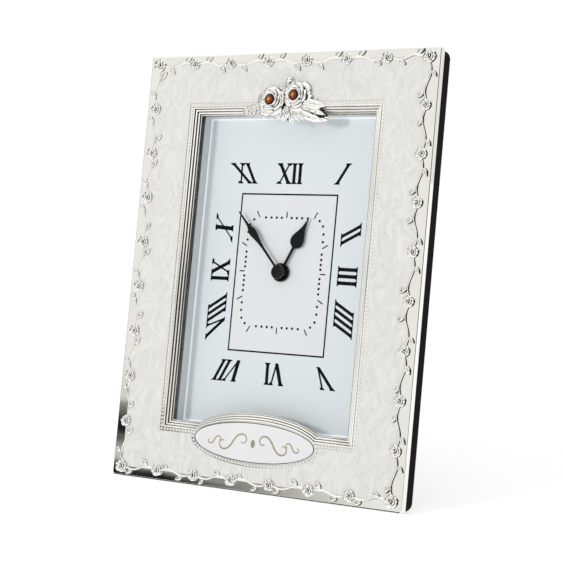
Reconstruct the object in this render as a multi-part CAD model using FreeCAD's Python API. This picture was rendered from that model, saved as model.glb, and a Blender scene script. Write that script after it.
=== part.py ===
import FreeCAD, Part
import math
import os

# Free-standing photo frame clock, leaning back on a short easel leg.
# Lengths are millimetres and angles are degrees.
# Every piece is drawn upright: X to the right, Y from the silver face (zero)
# towards the back, Z up from the bottom edge of the frame.
# The last step leans the whole clock back and stands it on Z = 0.

os.makedirs("parts", exist_ok=True)

# Whole frame
FRAME_WIDTH = 152.0
FRAME_HEIGHT = 198.0
LEAN_BACK = 10.0
CASTING_DEPTH = 3.4
CASTING_CORNER = 1.0
CASTING_EDGE_ROUND = 0.5
FACE_SIDE_WIDTH = 30.0
FACE_END_WIDTH = 28.2
SEAT_GAP = 0.3
THIN_GAP = 0.1
RUN_GAP = 0.05
CUT_OVERRUN = 2.0

# Window moulding: distance out from the sight edge, and depth of each step
BEAD_BAND_WIDTH = 1.7
STEP_WIDTHS = (0.6, 1.1, 1.1, 0.9)
STEP_DEPTHS = (2.5, 1.7, 0.9, 0.2)
BEAD_SEAT_DEPTH = 0.3
BEAD_RADIUS = 0.72
BEAD_PITCH = 1.7

# Oval name plate, left blank, and the arch that carries the moulding over it
OVAL_HALF_WIDTH = 31.2
OVAL_HALF_HEIGHT = 8.6
OVAL_BELOW_SIGHT = 6.4
ARCH_RISE = 4.4
OVAL_SEAT_DEPTH = 0.6
OVAL_RIM = 0.4
PLAQUE_THICKNESS = 0.7

# Enamel panel let into the face
ENAMEL_SIDE_MARGIN = 5.1
ENAMEL_END_MARGIN = 4.3
ENAMEL_CORNER = 2.0
ENAMEL_DEPTH = 0.6

# Rose garland that covers the edge of the enamel
ROSES_ACROSS = 8
ROSES_UP = 10
ROSE_RADIUS = 2.8
CORNER_ROSE_RADIUS = 3.2
ROSE_HEIGHT = 1.7
STEM_RADIUS = 0.45
STEM_WAVE = 1.1
LEAF_LENGTH = 3.4
LEAF_WIDTH = 1.5
LEAF_THICKNESS = 0.5
LEAF_TURN = 32.0

# Rose crest at the top of the window
CREST_ROSE_RADIUS = 5.6
CREST_ROSE_HEIGHT = 3.6
CREST_PLATE_THICKNESS = 0.6
CREST_ROSES_APART = 12.7
CREST_ROSE_ABOVE_SIGHT = 6.0
CREST_ROSE_STAGGER = 1.8
CREST_LEAF_LENGTH = 12.0
CREST_LEAF_WIDTH = 4.6
CRYSTAL_RADIUS = 2.0
CRYSTAL_HEIGHT = 1.7
CRYSTAL_SIDES = 8

# Glass, recess walls and dial
GLASS_THICKNESS = 2.0
GLASS_LAP = 3.0
CAP_TO_GLASS = 1.3
DIAL_THICKNESS = 0.8

# Velvet backing board with its raised middle, and the panel that closes it
BOARD_THICKNESS = 6.4
BOARD_CORNER = 4.0
BOARD_EDGE_ROUND = 0.8
BLOCK_RIM = 11.7
BLOCK_THICKNESS = 4.8
STANDING_FLAT_CUT = 0.45
PANEL_MOVEMENT_GAP = 0.5

# Turn buttons that hold the back panel
BUTTON_LENGTH = 17.0
BUTTON_WIDTH = 6.5
BUTTON_THICKNESS = 1.0
BUTTON_PIVOT_FROM_POCKET = 5.5
BUTTON_FROM_POCKET_END = 26.1
BUTTON_SCREW_RADIUS = 1.25
BUTTON_SCREW_HEAD_RADIUS = 2.4
BUTTON_SCREW_HEAD = 1.1
BUTTON_SCREW_LENGTH = 4.0

# Easel leg and its hinge
LEG_OPEN_ANGLE = 29.3
LEG_THICKNESS = 3.0
LEG_TOP_WIDTH = 28.0
LEG_FOOT_WIDTH = 44.0
LEG_EDGE_ROUND = 0.6
HINGE_BELOW_CASE = 2.4
HINGE_LENGTH = 24.0
HINGE_KNUCKLE_RADIUS = 1.2
HINGE_PIN_RADIUS = 0.6
HINGE_PIN_OVERHANG = 0.5
HINGE_LEAF_THICKNESS = 0.7
HINGE_LEAF_REACH = 11.0
HINGE_MIDDLE_KNUCKLE = 7.6
HINGE_KNUCKLE_GAP = 0.2
RIVET_RADIUS = 1.2
RIVET_SPACING = 14.0
RIVET_DEPTH = 1.6
RIVET_HEAD_RADIUS = 2.0
RIVET_HEAD_HEIGHT = 0.7

# Quartz movement case
PAD_THICKNESS = 0.5
PAD_INSET = 3.0
CASE_CORNER = 3.0
CASE_WALL = 1.2
CASE_SPLIT = 9.0
BUSH_WALL = 1.54
BUSH_PROUD = 0.6
BATTERY_RADIUS = 7.1
BATTERY_BODY_LENGTH = 49.2
BATTERY_NUB_LENGTH = 1.3
BATTERY_NUB_RADIUS = 2.7
BATTERY_SINK = 0.5
BATTERY_END_GAP = 0.4
BATTERY_SIDE_GAP = 0.7
BAY_LEDGE = 0.4
CONTACT_THICKNESS = 0.4
CONTACT_WIDTH = 7.0
CONTACT_TAIL_WIDTH = 3.0
CONTACT_BEND = 1.1

# Wheel train: modules as shares of the case's size, teeth, and layers
TRAIN_MODULE_SHARES = (3 / 560, 2.2 / 560, 2 / 560, 1.8 / 560)
MOTION_MODULE_SHARE = 3.5 / 560
TRAIN_WHEEL_TEETH = (60, 64, 60, 50)
TRAIN_PINION_TEETH = (8, 8, 10, 10)
TRAIN_BEARINGS = (60.0, 0.0, -75.0, -10.0)
CANNON_TEETH = 12
MOTION_TEETH = 36
MOTION_PINION_TEETH = 10
HOUR_TEETH = 40
KNOB_TEETH = 12
MOTION_BEARING = 160.0
KNOB_BEARING = 150.0
WHEEL_THICKNESS = 0.7
LAYER_STEP = 1.5
LAYER_START = 0.4
ARBOR_RADIUS = 0.35
PIVOT_DEPTH = 0.6
WHEEL_TOOTH_SHARE = 0.42
PINION_TOOTH_SHARE = 0.34
ADDENDUM_SHARE = 0.85
DEDENDUM_SHARE = 1.25
PRESSURE_ANGLE = 20.0
BRIDGE_THICKNESS = 1.0
PINION_OVERHANG = 0.3
POST_RADIUS = 1.2
MOTION_STUD_RADIUS = 0.45
ROTOR_RADIUS = 2.5
ROTOR_THICKNESS = 2.0

# Hands and the shafts that carry them
MINUTE_SHAFT_RADIUS = 1.5
MINUTE_REAR_RADIUS = 1.0
SHAFT_STEP = 0.3
HOUR_PIPE_WALL = 0.74
PIPE_GAP = 0.06
HAND_THICKNESS = 0.4
HOUR_HAND_LIFT = 1.2
HANDS_APART = 0.9
HOUR_HUB_RADIUS = 4.25
MINUTE_HUB_RADIUS = 2.6
CAP_RADIUS = 3.35
CAP_HEIGHT = 1.4
HAND_TO_WALL = 9.6
MINUTE_HAND_WIDTH = 3.5
HOUR_HAND_SHORTER = 8.5
HOUR_HAND_WIDTH = 7.0
MINUTE_ANGLE = 318.0
HOUR_ANGLE = 26.5

# Setting knob on the back of the case
KNOB_RADIUS = 4.6
KNOB_LENGTH = 2.6
KNOB_SHAFT_RADIUS = 1.0
KNOB_RIBS = 18
KNOB_RIB_DEPTH = 0.4

# Coil, circuit board and quartz can
CORE_HEIGHT = 3.0
CORE_THICKNESS = 0.8
CORE_LENGTH = 22.0
CORE_SIDE_GAP = 0.8
COIL_TOP_GAP = 1.5
COIL_LENGTH = 14.0
COIL_RADIUS = 3.0
BOBBIN_RADIUS = 3.3
BOBBIN_TUBE_RADIUS = 2.1
BOBBIN_FLANGE = 0.8
BOARD_PCB_WIDTH = 19.0
BOARD_PCB_HEIGHT = 13.0
BOARD_PCB_THICKNESS = 1.0
QUARTZ_RADIUS = 1.0
QUARTZ_LENGTH = 6.0

# Places worked out from the sizes above
MIDDLE_HEIGHT = FRAME_HEIGHT / 2
SIGHT_WIDTH = FRAME_WIDTH - 2 * FACE_SIDE_WIDTH
SIGHT_HEIGHT = FRAME_HEIGHT - 2 * FACE_END_WIDTH
MOULDING_WIDTH = sum(STEP_WIDTHS) + BEAD_BAND_WIDTH
BOARD_FRONT = CASTING_DEPTH
BOARD_BACK = BOARD_FRONT + BOARD_THICKNESS
BLOCK_BACK = BOARD_BACK + BLOCK_THICKNESS
GLASS_FRONT = CASTING_DEPTH
GLASS_BACK = GLASS_FRONT + GLASS_THICKNESS
OVAL_CENTRE_HEIGHT = MIDDLE_HEIGHT - SIGHT_HEIGHT / 2 - OVAL_BELOW_SIGHT
HANDS_DEPTH = HOUR_HAND_LIFT + 2 * HAND_THICKNESS + HANDS_APART + CAP_HEIGHT
DIAL_DEPTH = GLASS_BACK + CAP_TO_GLASS + HANDS_DEPTH
PANE_HALF_WIDTH = SIGHT_WIDTH / 2 + GLASS_LAP
PANE_HALF_HEIGHT = SIGHT_HEIGHT / 2 + GLASS_LAP
POCKET_HALF_WIDTH = PANE_HALF_WIDTH + SEAT_GAP
POCKET_HALF_HEIGHT = PANE_HALF_HEIGHT + SEAT_GAP
DIAL_BACK = DIAL_DEPTH + DIAL_THICKNESS
CASE_FRONT = DIAL_BACK + PAD_THICKNESS
BATTERY_LENGTH = BATTERY_BODY_LENGTH + 2 * BATTERY_NUB_LENGTH
CONTACT_SPACE = CONTACT_THICKNESS + THIN_GAP + BATTERY_END_GAP
CASE_SIZE = BATTERY_LENGTH + 2 * CONTACT_SPACE + 2 * CASE_WALL
CASE_DEPTH = CASE_WALL + THIN_GAP + 2 * BATTERY_RADIUS + BATTERY_SINK
BAY_HEIGHT = 2 * (BATTERY_RADIUS + BATTERY_SIDE_GAP)
CASE_BACK = CASE_FRONT + CASE_DEPTH
CASE_INNER_FRONT = CASE_FRONT + CASE_WALL
CASE_INNER_BACK = CASE_BACK - CASE_WALL
CASE_JOIN = CASE_FRONT + CASE_SPLIT
CASE_INNER_HALF = CASE_SIZE / 2 - CASE_WALL
TRAIN_MODULES = [CASE_SIZE * share for share in TRAIN_MODULE_SHARES]
MOTION_MODULE = CASE_SIZE * MOTION_MODULE_SHARE
BATTERY_AXIS_DROP = CASE_INNER_HALF - BAY_HEIGHT / 2
CORE_LIFT = CASE_INNER_HALF - COIL_TOP_GAP - BOBBIN_RADIUS
CORE_RIGHT = CASE_INNER_HALF - CORE_SIDE_GAP
CORE_LEFT = CORE_RIGHT - CORE_LENGTH
HINGE_HEIGHT = MIDDLE_HEIGHT - CASE_SIZE / 2 - HINGE_BELOW_CASE
HINGE_DEPTH = BLOCK_BACK + HINGE_KNUCKLE_RADIUS + RUN_GAP
HOUR_PIPE_INNER = MINUTE_SHAFT_RADIUS + PIPE_GAP
HOUR_PIPE_OUTER = HOUR_PIPE_INNER + HOUR_PIPE_WALL
BUSH_RADIUS = HOUR_PIPE_OUTER + PIPE_GAP + BUSH_WALL
MINUTE_HAND_SEAT_RADIUS = MINUTE_SHAFT_RADIUS - SHAFT_STEP
MINUTE_TIP_RADIUS = MINUTE_HAND_SEAT_RADIUS - SHAFT_STEP
CREST_SIGHT_TOP = MIDDLE_HEIGHT + SIGHT_HEIGHT / 2
CREST_LEFT_ROSE = (-CREST_ROSES_APART / 2, CREST_SIGHT_TOP + CREST_ROSE_ABOVE_SIGHT)
CREST_RIGHT_ROSE = (CREST_ROSES_APART / 2, CREST_LEFT_ROSE[1] + CREST_ROSE_STAGGER)
HOUR_HAND_BACK = DIAL_DEPTH - HOUR_HAND_LIFT
MINUTE_HAND_BACK = HOUR_HAND_BACK - HAND_THICKNESS - HANDS_APART
MINUTE_HAND_LENGTH = SIGHT_WIDTH / 2 - HAND_TO_WALL
HOUR_HAND_LENGTH = MINUTE_HAND_LENGTH - HOUR_HAND_SHORTER


def vec(x, y, z):
    return FreeCAD.Vector(x, y, z)


ALONG_X = vec(1, 0, 0)
ALONG_Y = vec(0, 1, 0)
ALONG_Z = vec(0, 0, 1)


def box(low, high):
    """Box between two corners."""
    size = [b - a for a, b in zip(low, high)]
    return Part.makeBox(size[0], size[1], size[2], vec(*low))


def rod_y(radius, x, z, front, back):
    """Round bar along Y."""
    return Part.makeCylinder(radius, back - front, vec(x, front, z), ALONG_Y)


def rod_x(radius, y, z, left, right):
    """Round bar along X."""
    return Part.makeCylinder(radius, right - left, vec(left, y, z), ALONG_X)


def slab(face, thickness):
    """Thickens a flat face towards the back."""
    return face.extrude(vec(0, thickness, 0))


def round_box_face(half_width, low, high, corner, y):
    """Face with four rounded corners, standing in the XZ plane at depth y."""
    outline = Part.Face(Part.makePolygon([
        vec(-half_width, y, low), vec(half_width, y, low),
        vec(half_width, y, high), vec(-half_width, y, high),
        vec(-half_width, y, low)]))
    if corner <= 0:
        return outline
    side = half_width - corner
    bend = corner * math.sqrt(0.5)
    edges = []
    corners = [(side, low + corner, 1, -1), (side, high - corner, 1, 1),
               (-side, high - corner, -1, 1), (-side, low + corner, -1, -1)]
    ends = []
    for x, z, right, up in corners:
        flat = vec(x, y, z + up * corner)
        upright = vec(x + right * corner, y, z)
        middle = vec(x + right * bend, y, z + up * bend)
        if right * up < 0:
            ends.append((flat, middle, upright))
        else:
            ends.append((upright, middle, flat))
    for number, (start, middle, end) in enumerate(ends):
        edges.append(Part.Arc(start, middle, end).toShape())
        following = ends[(number + 1) % len(ends)][0]
        edges.append(Part.LineSegment(end, following).toShape())
    return Part.Face(Part.Wire(edges))


def centred_face(half_width, half_height, corner, y):
    """Rounded face centred on the middle of the frame."""
    return round_box_face(half_width, MIDDLE_HEIGHT - half_height,
                          MIDDLE_HEIGHT + half_height, corner, y)


def oval_face(grow, y):
    """Face of the name plate's oval, grown all round."""
    curve = Part.Ellipse(vec(0, 0, 0), OVAL_HALF_WIDTH + grow, OVAL_HALF_HEIGHT + grow)
    face = Part.Face(Part.Wire([curve.toShape()]))
    face.rotate(vec(0, 0, 0), ALONG_X, 90)
    face.translate(vec(0, y, OVAL_CENTRE_HEIGHT))
    return face


def polygon_face(points, y):
    """Face through points given as (x, z)."""
    corners = [vec(x, y, z) for x, z in points]
    return Part.Face(Part.makePolygon(corners + corners[:1]))


def turned(shape, angle, x, z):
    """Copy turned about an axis along Y through (x, z)."""
    copy = shape.copy()
    copy.rotate(vec(x, 0, z), ALONG_Y, angle)
    return copy


def moved(shape, x, y, z):
    copy = shape.copy()
    copy.translate(vec(x, y, z))
    return copy


def on_movement(point):
    """Place on the movement, given from the hands' axis, in frame terms."""
    return point[0], MIDDLE_HEIGHT + point[1]


# Silver casting, enamel and trims

def moulding_face(out, y):
    """Window outline at a distance out from the sight edge, oval arch left in."""
    window = centred_face(SIGHT_WIDTH / 2 + out, SIGHT_HEIGHT / 2 + out, 0, y)
    return window.cut(oval_face(ARCH_RISE - out, y))


def front_frame():
    face = round_box_face(FRAME_WIDTH / 2, 0, FRAME_HEIGHT, CASTING_CORNER, 0)
    body = slab(face, CASTING_DEPTH)
    front_edges = [e for e in body.Edges if max(v.Y for v in e.Vertexes) <= 0]
    body = body.makeFillet(CASTING_EDGE_ROUND, front_edges)
    sight = slab(moulding_face(0, -CUT_OVERRUN), CASTING_DEPTH + 2 * CUT_OVERRUN)
    body = body.cut(sight)
    out = 0
    for width, depth in zip(STEP_WIDTHS, STEP_DEPTHS):
        out = out + width
        body = body.cut(slab(moulding_face(out, -CUT_OVERRUN), depth + CUT_OVERRUN))
    body = body.cut(bead_seat())
    body = body.cut(enamel_shape(0, CUT_OVERRUN))
    plaque_seat = slab(oval_face(0, -CUT_OVERRUN), OVAL_SEAT_DEPTH + CUT_OVERRUN)
    return body.cut(plaque_seat)


def bead_seat():
    """Shallow channel that the bead row sits in."""
    inner = sum(STEP_WIDTHS)
    outer_y = -CUT_OVERRUN
    depth = BEAD_SEAT_DEPTH + CUT_OVERRUN
    outer = slab(centred_face(SIGHT_WIDTH / 2 + MOULDING_WIDTH,
                              SIGHT_HEIGHT / 2 + MOULDING_WIDTH, 0, outer_y), depth)
    outer = outer.fuse(slab(oval_face(OVAL_RIM + BEAD_BAND_WIDTH, outer_y), depth))
    core = slab(centred_face(SIGHT_WIDTH / 2 + inner, SIGHT_HEIGHT / 2 + inner, 0, outer_y),
                depth)
    core = core.fuse(slab(oval_face(OVAL_RIM, outer_y), depth))
    return outer.cut(core)


def enamel_shape(gap, proud):
    """Enamel panel, or the hollow it fills when proud is the overrun."""
    low = ENAMEL_END_MARGIN + gap
    high = FRAME_HEIGHT - ENAMEL_END_MARGIN - gap
    panel = slab(round_box_face(FRAME_WIDTH / 2 - ENAMEL_SIDE_MARGIN - gap, low, high,
                                ENAMEL_CORNER, -proud), ENAMEL_DEPTH + proud)
    window = slab(centred_face(SIGHT_WIDTH / 2 + MOULDING_WIDTH + gap,
                               SIGHT_HEIGHT / 2 + MOULDING_WIDTH + gap, 0, -proud),
                  ENAMEL_DEPTH + proud)
    oval = slab(oval_face(OVAL_RIM + BEAD_BAND_WIDTH + gap, -proud), ENAMEL_DEPTH + proud)
    return panel.cut(window).cut(oval)


def oval_plaque():
    front = OVAL_SEAT_DEPTH - PLAQUE_THICKNESS
    return slab(oval_face(-THIN_GAP, front), PLAQUE_THICKNESS)


def bead_path():
    """Middle of the bead row: round the window, and round the oval below it."""
    middle = MOULDING_WIDTH - BEAD_BAND_WIDTH / 2
    half_width = SIGHT_WIDTH / 2 + middle
    low = MIDDLE_HEIGHT - SIGHT_HEIGHT / 2 - middle
    high = MIDDLE_HEIGHT + SIGHT_HEIGHT / 2 + middle
    wide = OVAL_HALF_WIDTH + OVAL_RIM + BEAD_BAND_WIDTH / 2
    tall = OVAL_HALF_HEIGHT + OVAL_RIM + BEAD_BAND_WIDTH / 2
    start = math.asin((low - OVAL_CENTRE_HEIGHT) / tall)
    points = [(half_width, low), (half_width, high), (-half_width, high), (-half_width, low)]
    arc_steps = 48
    for number in range(arc_steps + 1):
        turn = math.pi - start + (math.pi + 2 * start) * number / arc_steps
        points.append((wide * math.cos(turn), OVAL_CENTRE_HEIGHT + tall * math.sin(turn)))
    points.append((half_width, low))
    return points


def places_along(points, pitch):
    """Evenly spaced places along each straight or curved stretch of a path."""
    lengths = [math.dist(a, b) for a, b in zip(points, points[1:])]
    total = sum(lengths)
    count = int(round(total / pitch))
    places = []
    for number in range(count):
        left = total * number / count
        for (a, b), length in zip(zip(points, points[1:]), lengths):
            if left <= length:
                share = left / length
                places.append((a[0] + (b[0] - a[0]) * share, a[1] + (b[1] - a[1]) * share))
                break
            left = left - length
    return places


def bead_trim():
    ball = Part.makeSphere(BEAD_RADIUS)
    half = box((-BEAD_PITCH, -BEAD_PITCH, -BEAD_PITCH), (BEAD_PITCH, 0, BEAD_PITCH))
    dome = ball.common(half)
    crest_low = CREST_LEFT_ROSE[1]
    beads = []
    for x, z in places_along(bead_path(), BEAD_PITCH):
        under_crest = z > MIDDLE_HEIGHT and abs(x) < 2 * CREST_ROSE_RADIUS + BEAD_PITCH
        if under_crest and z < crest_low + CREST_ROSE_RADIUS:
            continue
        beads.append(moved(dome, x, BEAD_SEAT_DEPTH, z))
    return Part.makeCompound(beads)


# Roses, leaves and stems

def tilted_petal(radius, thickness, out, lift, tilt, turn):
    """Round petal leaning outwards from a rose's middle."""
    petal = Part.makeCylinder(radius, thickness, vec(0, 0, 0), vec(0, -1, 0))
    petal.rotate(vec(0, 0, 0), ALONG_X, tilt)
    petal.translate(vec(0, -lift, out))
    petal.rotate(vec(0, 0, 0), ALONG_Y, turn)
    return petal


def rose(radius, height, core_share):
    """Open rose facing the front: two rings of petals round a core."""
    outer_ring_share = 0.56
    outer_petal_share = 0.46
    inner_ring_share = 0.30
    inner_petal_share = 0.34
    petal_thickness_share = 0.34
    petals = [Part.makeCylinder(radius * (1 - inner_ring_share), height * inner_ring_share,
                                vec(0, 0, 0), vec(0, -1, 0))]
    outer_count = 5
    inner_count = 4
    outer_tilt = 20
    inner_tilt = 14
    inner_turn = 20
    for number in range(outer_count):
        petals.append(tilted_petal(radius * outer_petal_share, height * petal_thickness_share,
                                   radius * outer_ring_share, height * inner_ring_share,
                                   outer_tilt,
                                   360 * number / outer_count))
    for number in range(inner_count):
        petals.append(tilted_petal(radius * inner_petal_share, height * petal_thickness_share,
                                   radius * inner_ring_share, height * outer_ring_share,
                                   inner_tilt, 360 * number / inner_count + inner_turn))
    petals.append(Part.makeCylinder(radius * core_share, height, vec(0, 0, 0), vec(0, -1, 0)))
    whole = petals[0].multiFuse(petals[1:])
    keep = Part.makeCylinder(radius, height, vec(0, 0, 0), vec(0, -1, 0))
    return whole.common(keep).removeSplitter()


def rose_places():
    """Centre of each garland rose, with its radius and its place along the run."""
    side = FRAME_WIDTH / 2 - ENAMEL_SIDE_MARGIN
    low = ENAMEL_END_MARGIN
    high = FRAME_HEIGHT - ENAMEL_END_MARGIN
    runs = [((-side, high), (side, high), ROSES_ACROSS), ((side, high), (side, low), ROSES_UP),
            ((side, low), (-side, low), ROSES_ACROSS), ((-side, low), (-side, high), ROSES_UP)]
    places = []
    for start, end, count in runs:
        for number in range(count - 1):
            share = number / (count - 1)
            x = start[0] + (end[0] - start[0]) * share
            z = start[1] + (end[1] - start[1]) * share
            places.append((x, z, CORNER_ROSE_RADIUS if number == 0 else ROSE_RADIUS))
    return places


def garland_roses():
    core_share = 0.2
    plain = rose(ROSE_RADIUS, ROSE_HEIGHT, core_share)
    corner = rose(CORNER_ROSE_RADIUS, ROSE_HEIGHT, core_share)
    turn_step = 137.5
    roses = []
    for number, (x, z, radius) in enumerate(rose_places()):
        model = corner if radius == CORNER_ROSE_RADIUS else plain
        roses.append(moved(turned(model, turn_step * number, 0, 0), x, 0, z))
    return Part.makeCompound(roses)


def leaf(length, width, thickness):
    """Pointed leaf lying on the face, its root at the origin, pointing up."""
    half = width / 2
    middle = length / 2
    right = Part.Arc(vec(0, 0, 0), vec(half, 0, middle), vec(0, 0, length)).toShape()
    left = Part.Arc(vec(0, 0, length), vec(-half, 0, middle), vec(0, 0, 0)).toShape()
    face = Part.Face(Part.Wire([right, left]))
    return face.extrude(vec(0, -thickness, 0))


def stem_points(start, end, start_radius, end_radius, side):
    """Five points of a stem that waves once each way between two roses."""
    run = math.dist(start, end)
    along = ((end[0] - start[0]) / run, (end[1] - start[1]) / run)
    across = (-along[1] * side, along[0] * side)
    first = start_radius + THIN_GAP
    free = run - first - end_radius - THIN_GAP
    shares = ((0, 0), (0.25, 1), (0.5, 0), (0.75, -1), (1, 0))
    points = []
    for share, wave in shares:
        distance = first + free * share
        points.append((start[0] + along[0] * distance + across[0] * wave * STEM_WAVE,
                       start[1] + along[1] * distance + across[1] * wave * STEM_WAVE))
    return points


def stem(points):
    """Half-round stem lying on the face, along two arcs."""
    spots = [vec(x, 0, z) for x, z in points]
    path = Part.Wire([Part.Arc(spots[0], spots[1], spots[2]).toShape(),
                      Part.Arc(spots[2], spots[3], spots[4]).toShape()])
    tangent = path.Edges[0].tangentAt(path.Edges[0].FirstParameter)
    across = tangent.cross(ALONG_Y)
    left = spots[0] - across * STEM_RADIUS
    right = spots[0] + across * STEM_RADIUS
    top = spots[0] + vec(0, -STEM_RADIUS, 0)
    section = Part.Wire([Part.Arc(left, top, right).toShape(),
                         Part.LineSegment(right, left).toShape()])
    return path.makePipeShell([section], True, False)


def garland_runs():
    places = rose_places()
    for number, start in enumerate(places):
        end = places[(number + 1) % len(places)]
        side = 1 if number % 2 else -1
        yield start, end, side


def vine_stems():
    stems = []
    for start, end, side in garland_runs():
        points = stem_points(start[:2], end[:2], start[2], end[2], side)
        stems.append(stem(points))
    return Part.makeCompound(stems)


def vine_leaves():
    """Two leaves on each stem, one each side, rooted clear of the wave."""
    model = leaf(LEAF_LENGTH, LEAF_WIDTH, LEAF_THICKNESS)
    leaves = []
    for start, end, side in garland_runs():
        run_angle = math.degrees(math.atan2(end[0] - start[0], end[1] - start[1]))
        points = stem_points(start[:2], end[:2], start[2], end[2], side)
        for spot, lean_side in ((points[1], side), (points[3], -side)):
            along = math.radians(run_angle)
            root = STEM_RADIUS + THIN_GAP
            x = spot[0] - math.cos(along) * root * lean_side
            z = spot[1] + math.sin(along) * root * lean_side
            angle = run_angle - LEAF_TURN * lean_side
            leaves.append(moved(turned(model, angle, 0, 0), x, 0, z))
    return Part.makeCompound(leaves)


def crest_leaves():
    """Leaves that fan out from under the two roses."""
    left_shares = ((250, 1.0, 0.8, 0.5), (228, 0.75, 0.7, 0.9), (200, 0.55, 0.6, 0.4),
                   (15, 0.45, 0.5, 0.2))
    right_shares = ((126, 1.25, 1.1, 0.9), (106, 1.0, 0.9, 0.4), (152, 0.75, 0.8, 0.4),
                    (196, 0.80, 0.7, 0.9), (342, 0.55, 0.5, 0.5))
    root_share = 0.5
    for centre, table in ((CREST_LEFT_ROSE, left_shares), (CREST_RIGHT_ROSE, right_shares)):
        for angle, length, width, lift in table:
            blade = leaf(CREST_LEAF_LENGTH * length, CREST_LEAF_WIDTH * width,
                         CREST_PLATE_THICKNESS)
            blade.translate(vec(0, 0, CREST_ROSE_RADIUS * root_share))
            blade = turned(blade, angle, 0, 0)
            depth = CREST_PLATE_THICKNESS * (1 + lift)
            yield moved(blade, centre[0], -depth, centre[1])


def rose_crest():
    """Two open roses with leaves, cast in one on a plate that sits on the enamel."""
    core_share = 0.45
    bloom = rose(CREST_ROSE_RADIUS, CREST_ROSE_HEIGHT, core_share)
    seat = Part.makeCylinder(CRYSTAL_RADIUS + RUN_GAP, CREST_ROSE_HEIGHT,
                             vec(0, -CREST_ROSE_HEIGHT / 2, 0), vec(0, -1, 0))
    bloom = bloom.cut(seat)
    pieces = []
    turns = (10, 47)
    for (x, z), turn in zip((CREST_LEFT_ROSE, CREST_RIGHT_ROSE), turns):
        pieces.append(moved(turned(bloom, turn, 0, 0), x, -CREST_PLATE_THICKNESS, z))
    pieces.extend(crest_leaves())
    plate_low = CREST_SIGHT_TOP + MOULDING_WIDTH + SEAT_GAP
    half = CREST_ROSE_RADIUS + CREST_RIGHT_ROSE[0] - CREST_PLATE_THICKNESS
    high = CREST_LEFT_ROSE[1] + CREST_ROSE_RADIUS / 2
    pieces.append(box((-half, -CREST_PLATE_THICKNESS, plate_low), (half, 0, high)))
    bridge = box((CREST_LEFT_ROSE[0], -2 * CREST_PLATE_THICKNESS, CREST_LEFT_ROSE[1] - half / 2),
                 (CREST_RIGHT_ROSE[0], -CREST_PLATE_THICKNESS, high))
    pieces.append(bridge)
    return pieces[0].multiFuse(pieces[1:]).removeSplitter()


def crystal():
    """Faceted stone with a flat table, its base on Y = 0."""
    girdle_share = 0.35
    table_share = 0.55
    rings = ((1, 0), (1, girdle_share), (table_share, 1))
    wires = []
    for size, lift in rings:
        corners = []
        for number in range(CRYSTAL_SIDES + 1):
            turn = 2 * math.pi * number / CRYSTAL_SIDES
            corners.append(vec(CRYSTAL_RADIUS * size * math.cos(turn), -CRYSTAL_HEIGHT * lift,
                               CRYSTAL_RADIUS * size * math.sin(turn)))
        wires.append(Part.makePolygon(corners))
    return Part.makeLoft(wires, True, True)


def crest_crystals():
    seat = -CREST_PLATE_THICKNESS - CREST_ROSE_HEIGHT / 2
    stones = [moved(crystal(), x, seat, z) for x, z in (CREST_LEFT_ROSE, CREST_RIGHT_ROSE)]
    return Part.makeCompound(stones)


# Glass, dial and the boards behind them

def glass_pane():
    return slab(centred_face(PANE_HALF_WIDTH, PANE_HALF_HEIGHT, 0, GLASS_FRONT),
                GLASS_THICKNESS)


def recess_frame():
    depth = DIAL_DEPTH - GLASS_BACK
    outer = slab(centred_face(PANE_HALF_WIDTH, PANE_HALF_HEIGHT, 0, GLASS_BACK), depth)
    inner = slab(centred_face(SIGHT_WIDTH / 2, SIGHT_HEIGHT / 2, 0, GLASS_BACK - CUT_OVERRUN),
                 depth + 2 * CUT_OVERRUN)
    return outer.cut(inner)


def dial_plate():
    plate = slab(centred_face(PANE_HALF_WIDTH, PANE_HALF_HEIGHT, 0, DIAL_DEPTH),
                 DIAL_THICKNESS)
    hole = rod_y(BUSH_RADIUS + THIN_GAP, 0, MIDDLE_HEIGHT, DIAL_DEPTH - CUT_OVERRUN,
                 DIAL_BACK + CUT_OVERRUN)
    return plate.cut(hole)


def backing_board():
    face = round_box_face(FRAME_WIDTH / 2, 0, FRAME_HEIGHT, BOARD_CORNER, BOARD_FRONT)
    board = slab(face, BOARD_THICKNESS)
    rear_edges = [e for e in board.Edges if min(v.Y for v in e.Vertexes) >= BOARD_BACK]
    board = board.makeFillet(BOARD_EDGE_ROUND, rear_edges)
    block_half_width = POCKET_HALF_WIDTH + BLOCK_RIM
    block_half_height = POCKET_HALF_HEIGHT + BLOCK_RIM
    block = slab(centred_face(block_half_width, block_half_height, BOARD_CORNER, BOARD_BACK),
                 BLOCK_THICKNESS)
    block_edges = [e for e in block.Edges if min(v.Y for v in e.Vertexes) >= BLOCK_BACK]
    block = block.makeFillet(BOARD_EDGE_ROUND, block_edges)
    board = board.fuse(block)
    pocket = slab(centred_face(POCKET_HALF_WIDTH, POCKET_HALF_HEIGHT, 0,
                               BOARD_FRONT - CUT_OVERRUN),
                  BLOCK_BACK - BOARD_FRONT + 2 * CUT_OVERRUN)
    board = board.cut(pocket)
    for x, z in button_places():
        board = board.cut(rod_y(BUTTON_SCREW_RADIUS, x, z, BLOCK_BACK - BUTTON_SCREW_LENGTH,
                                BLOCK_BACK + CUT_OVERRUN))
    return board


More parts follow.
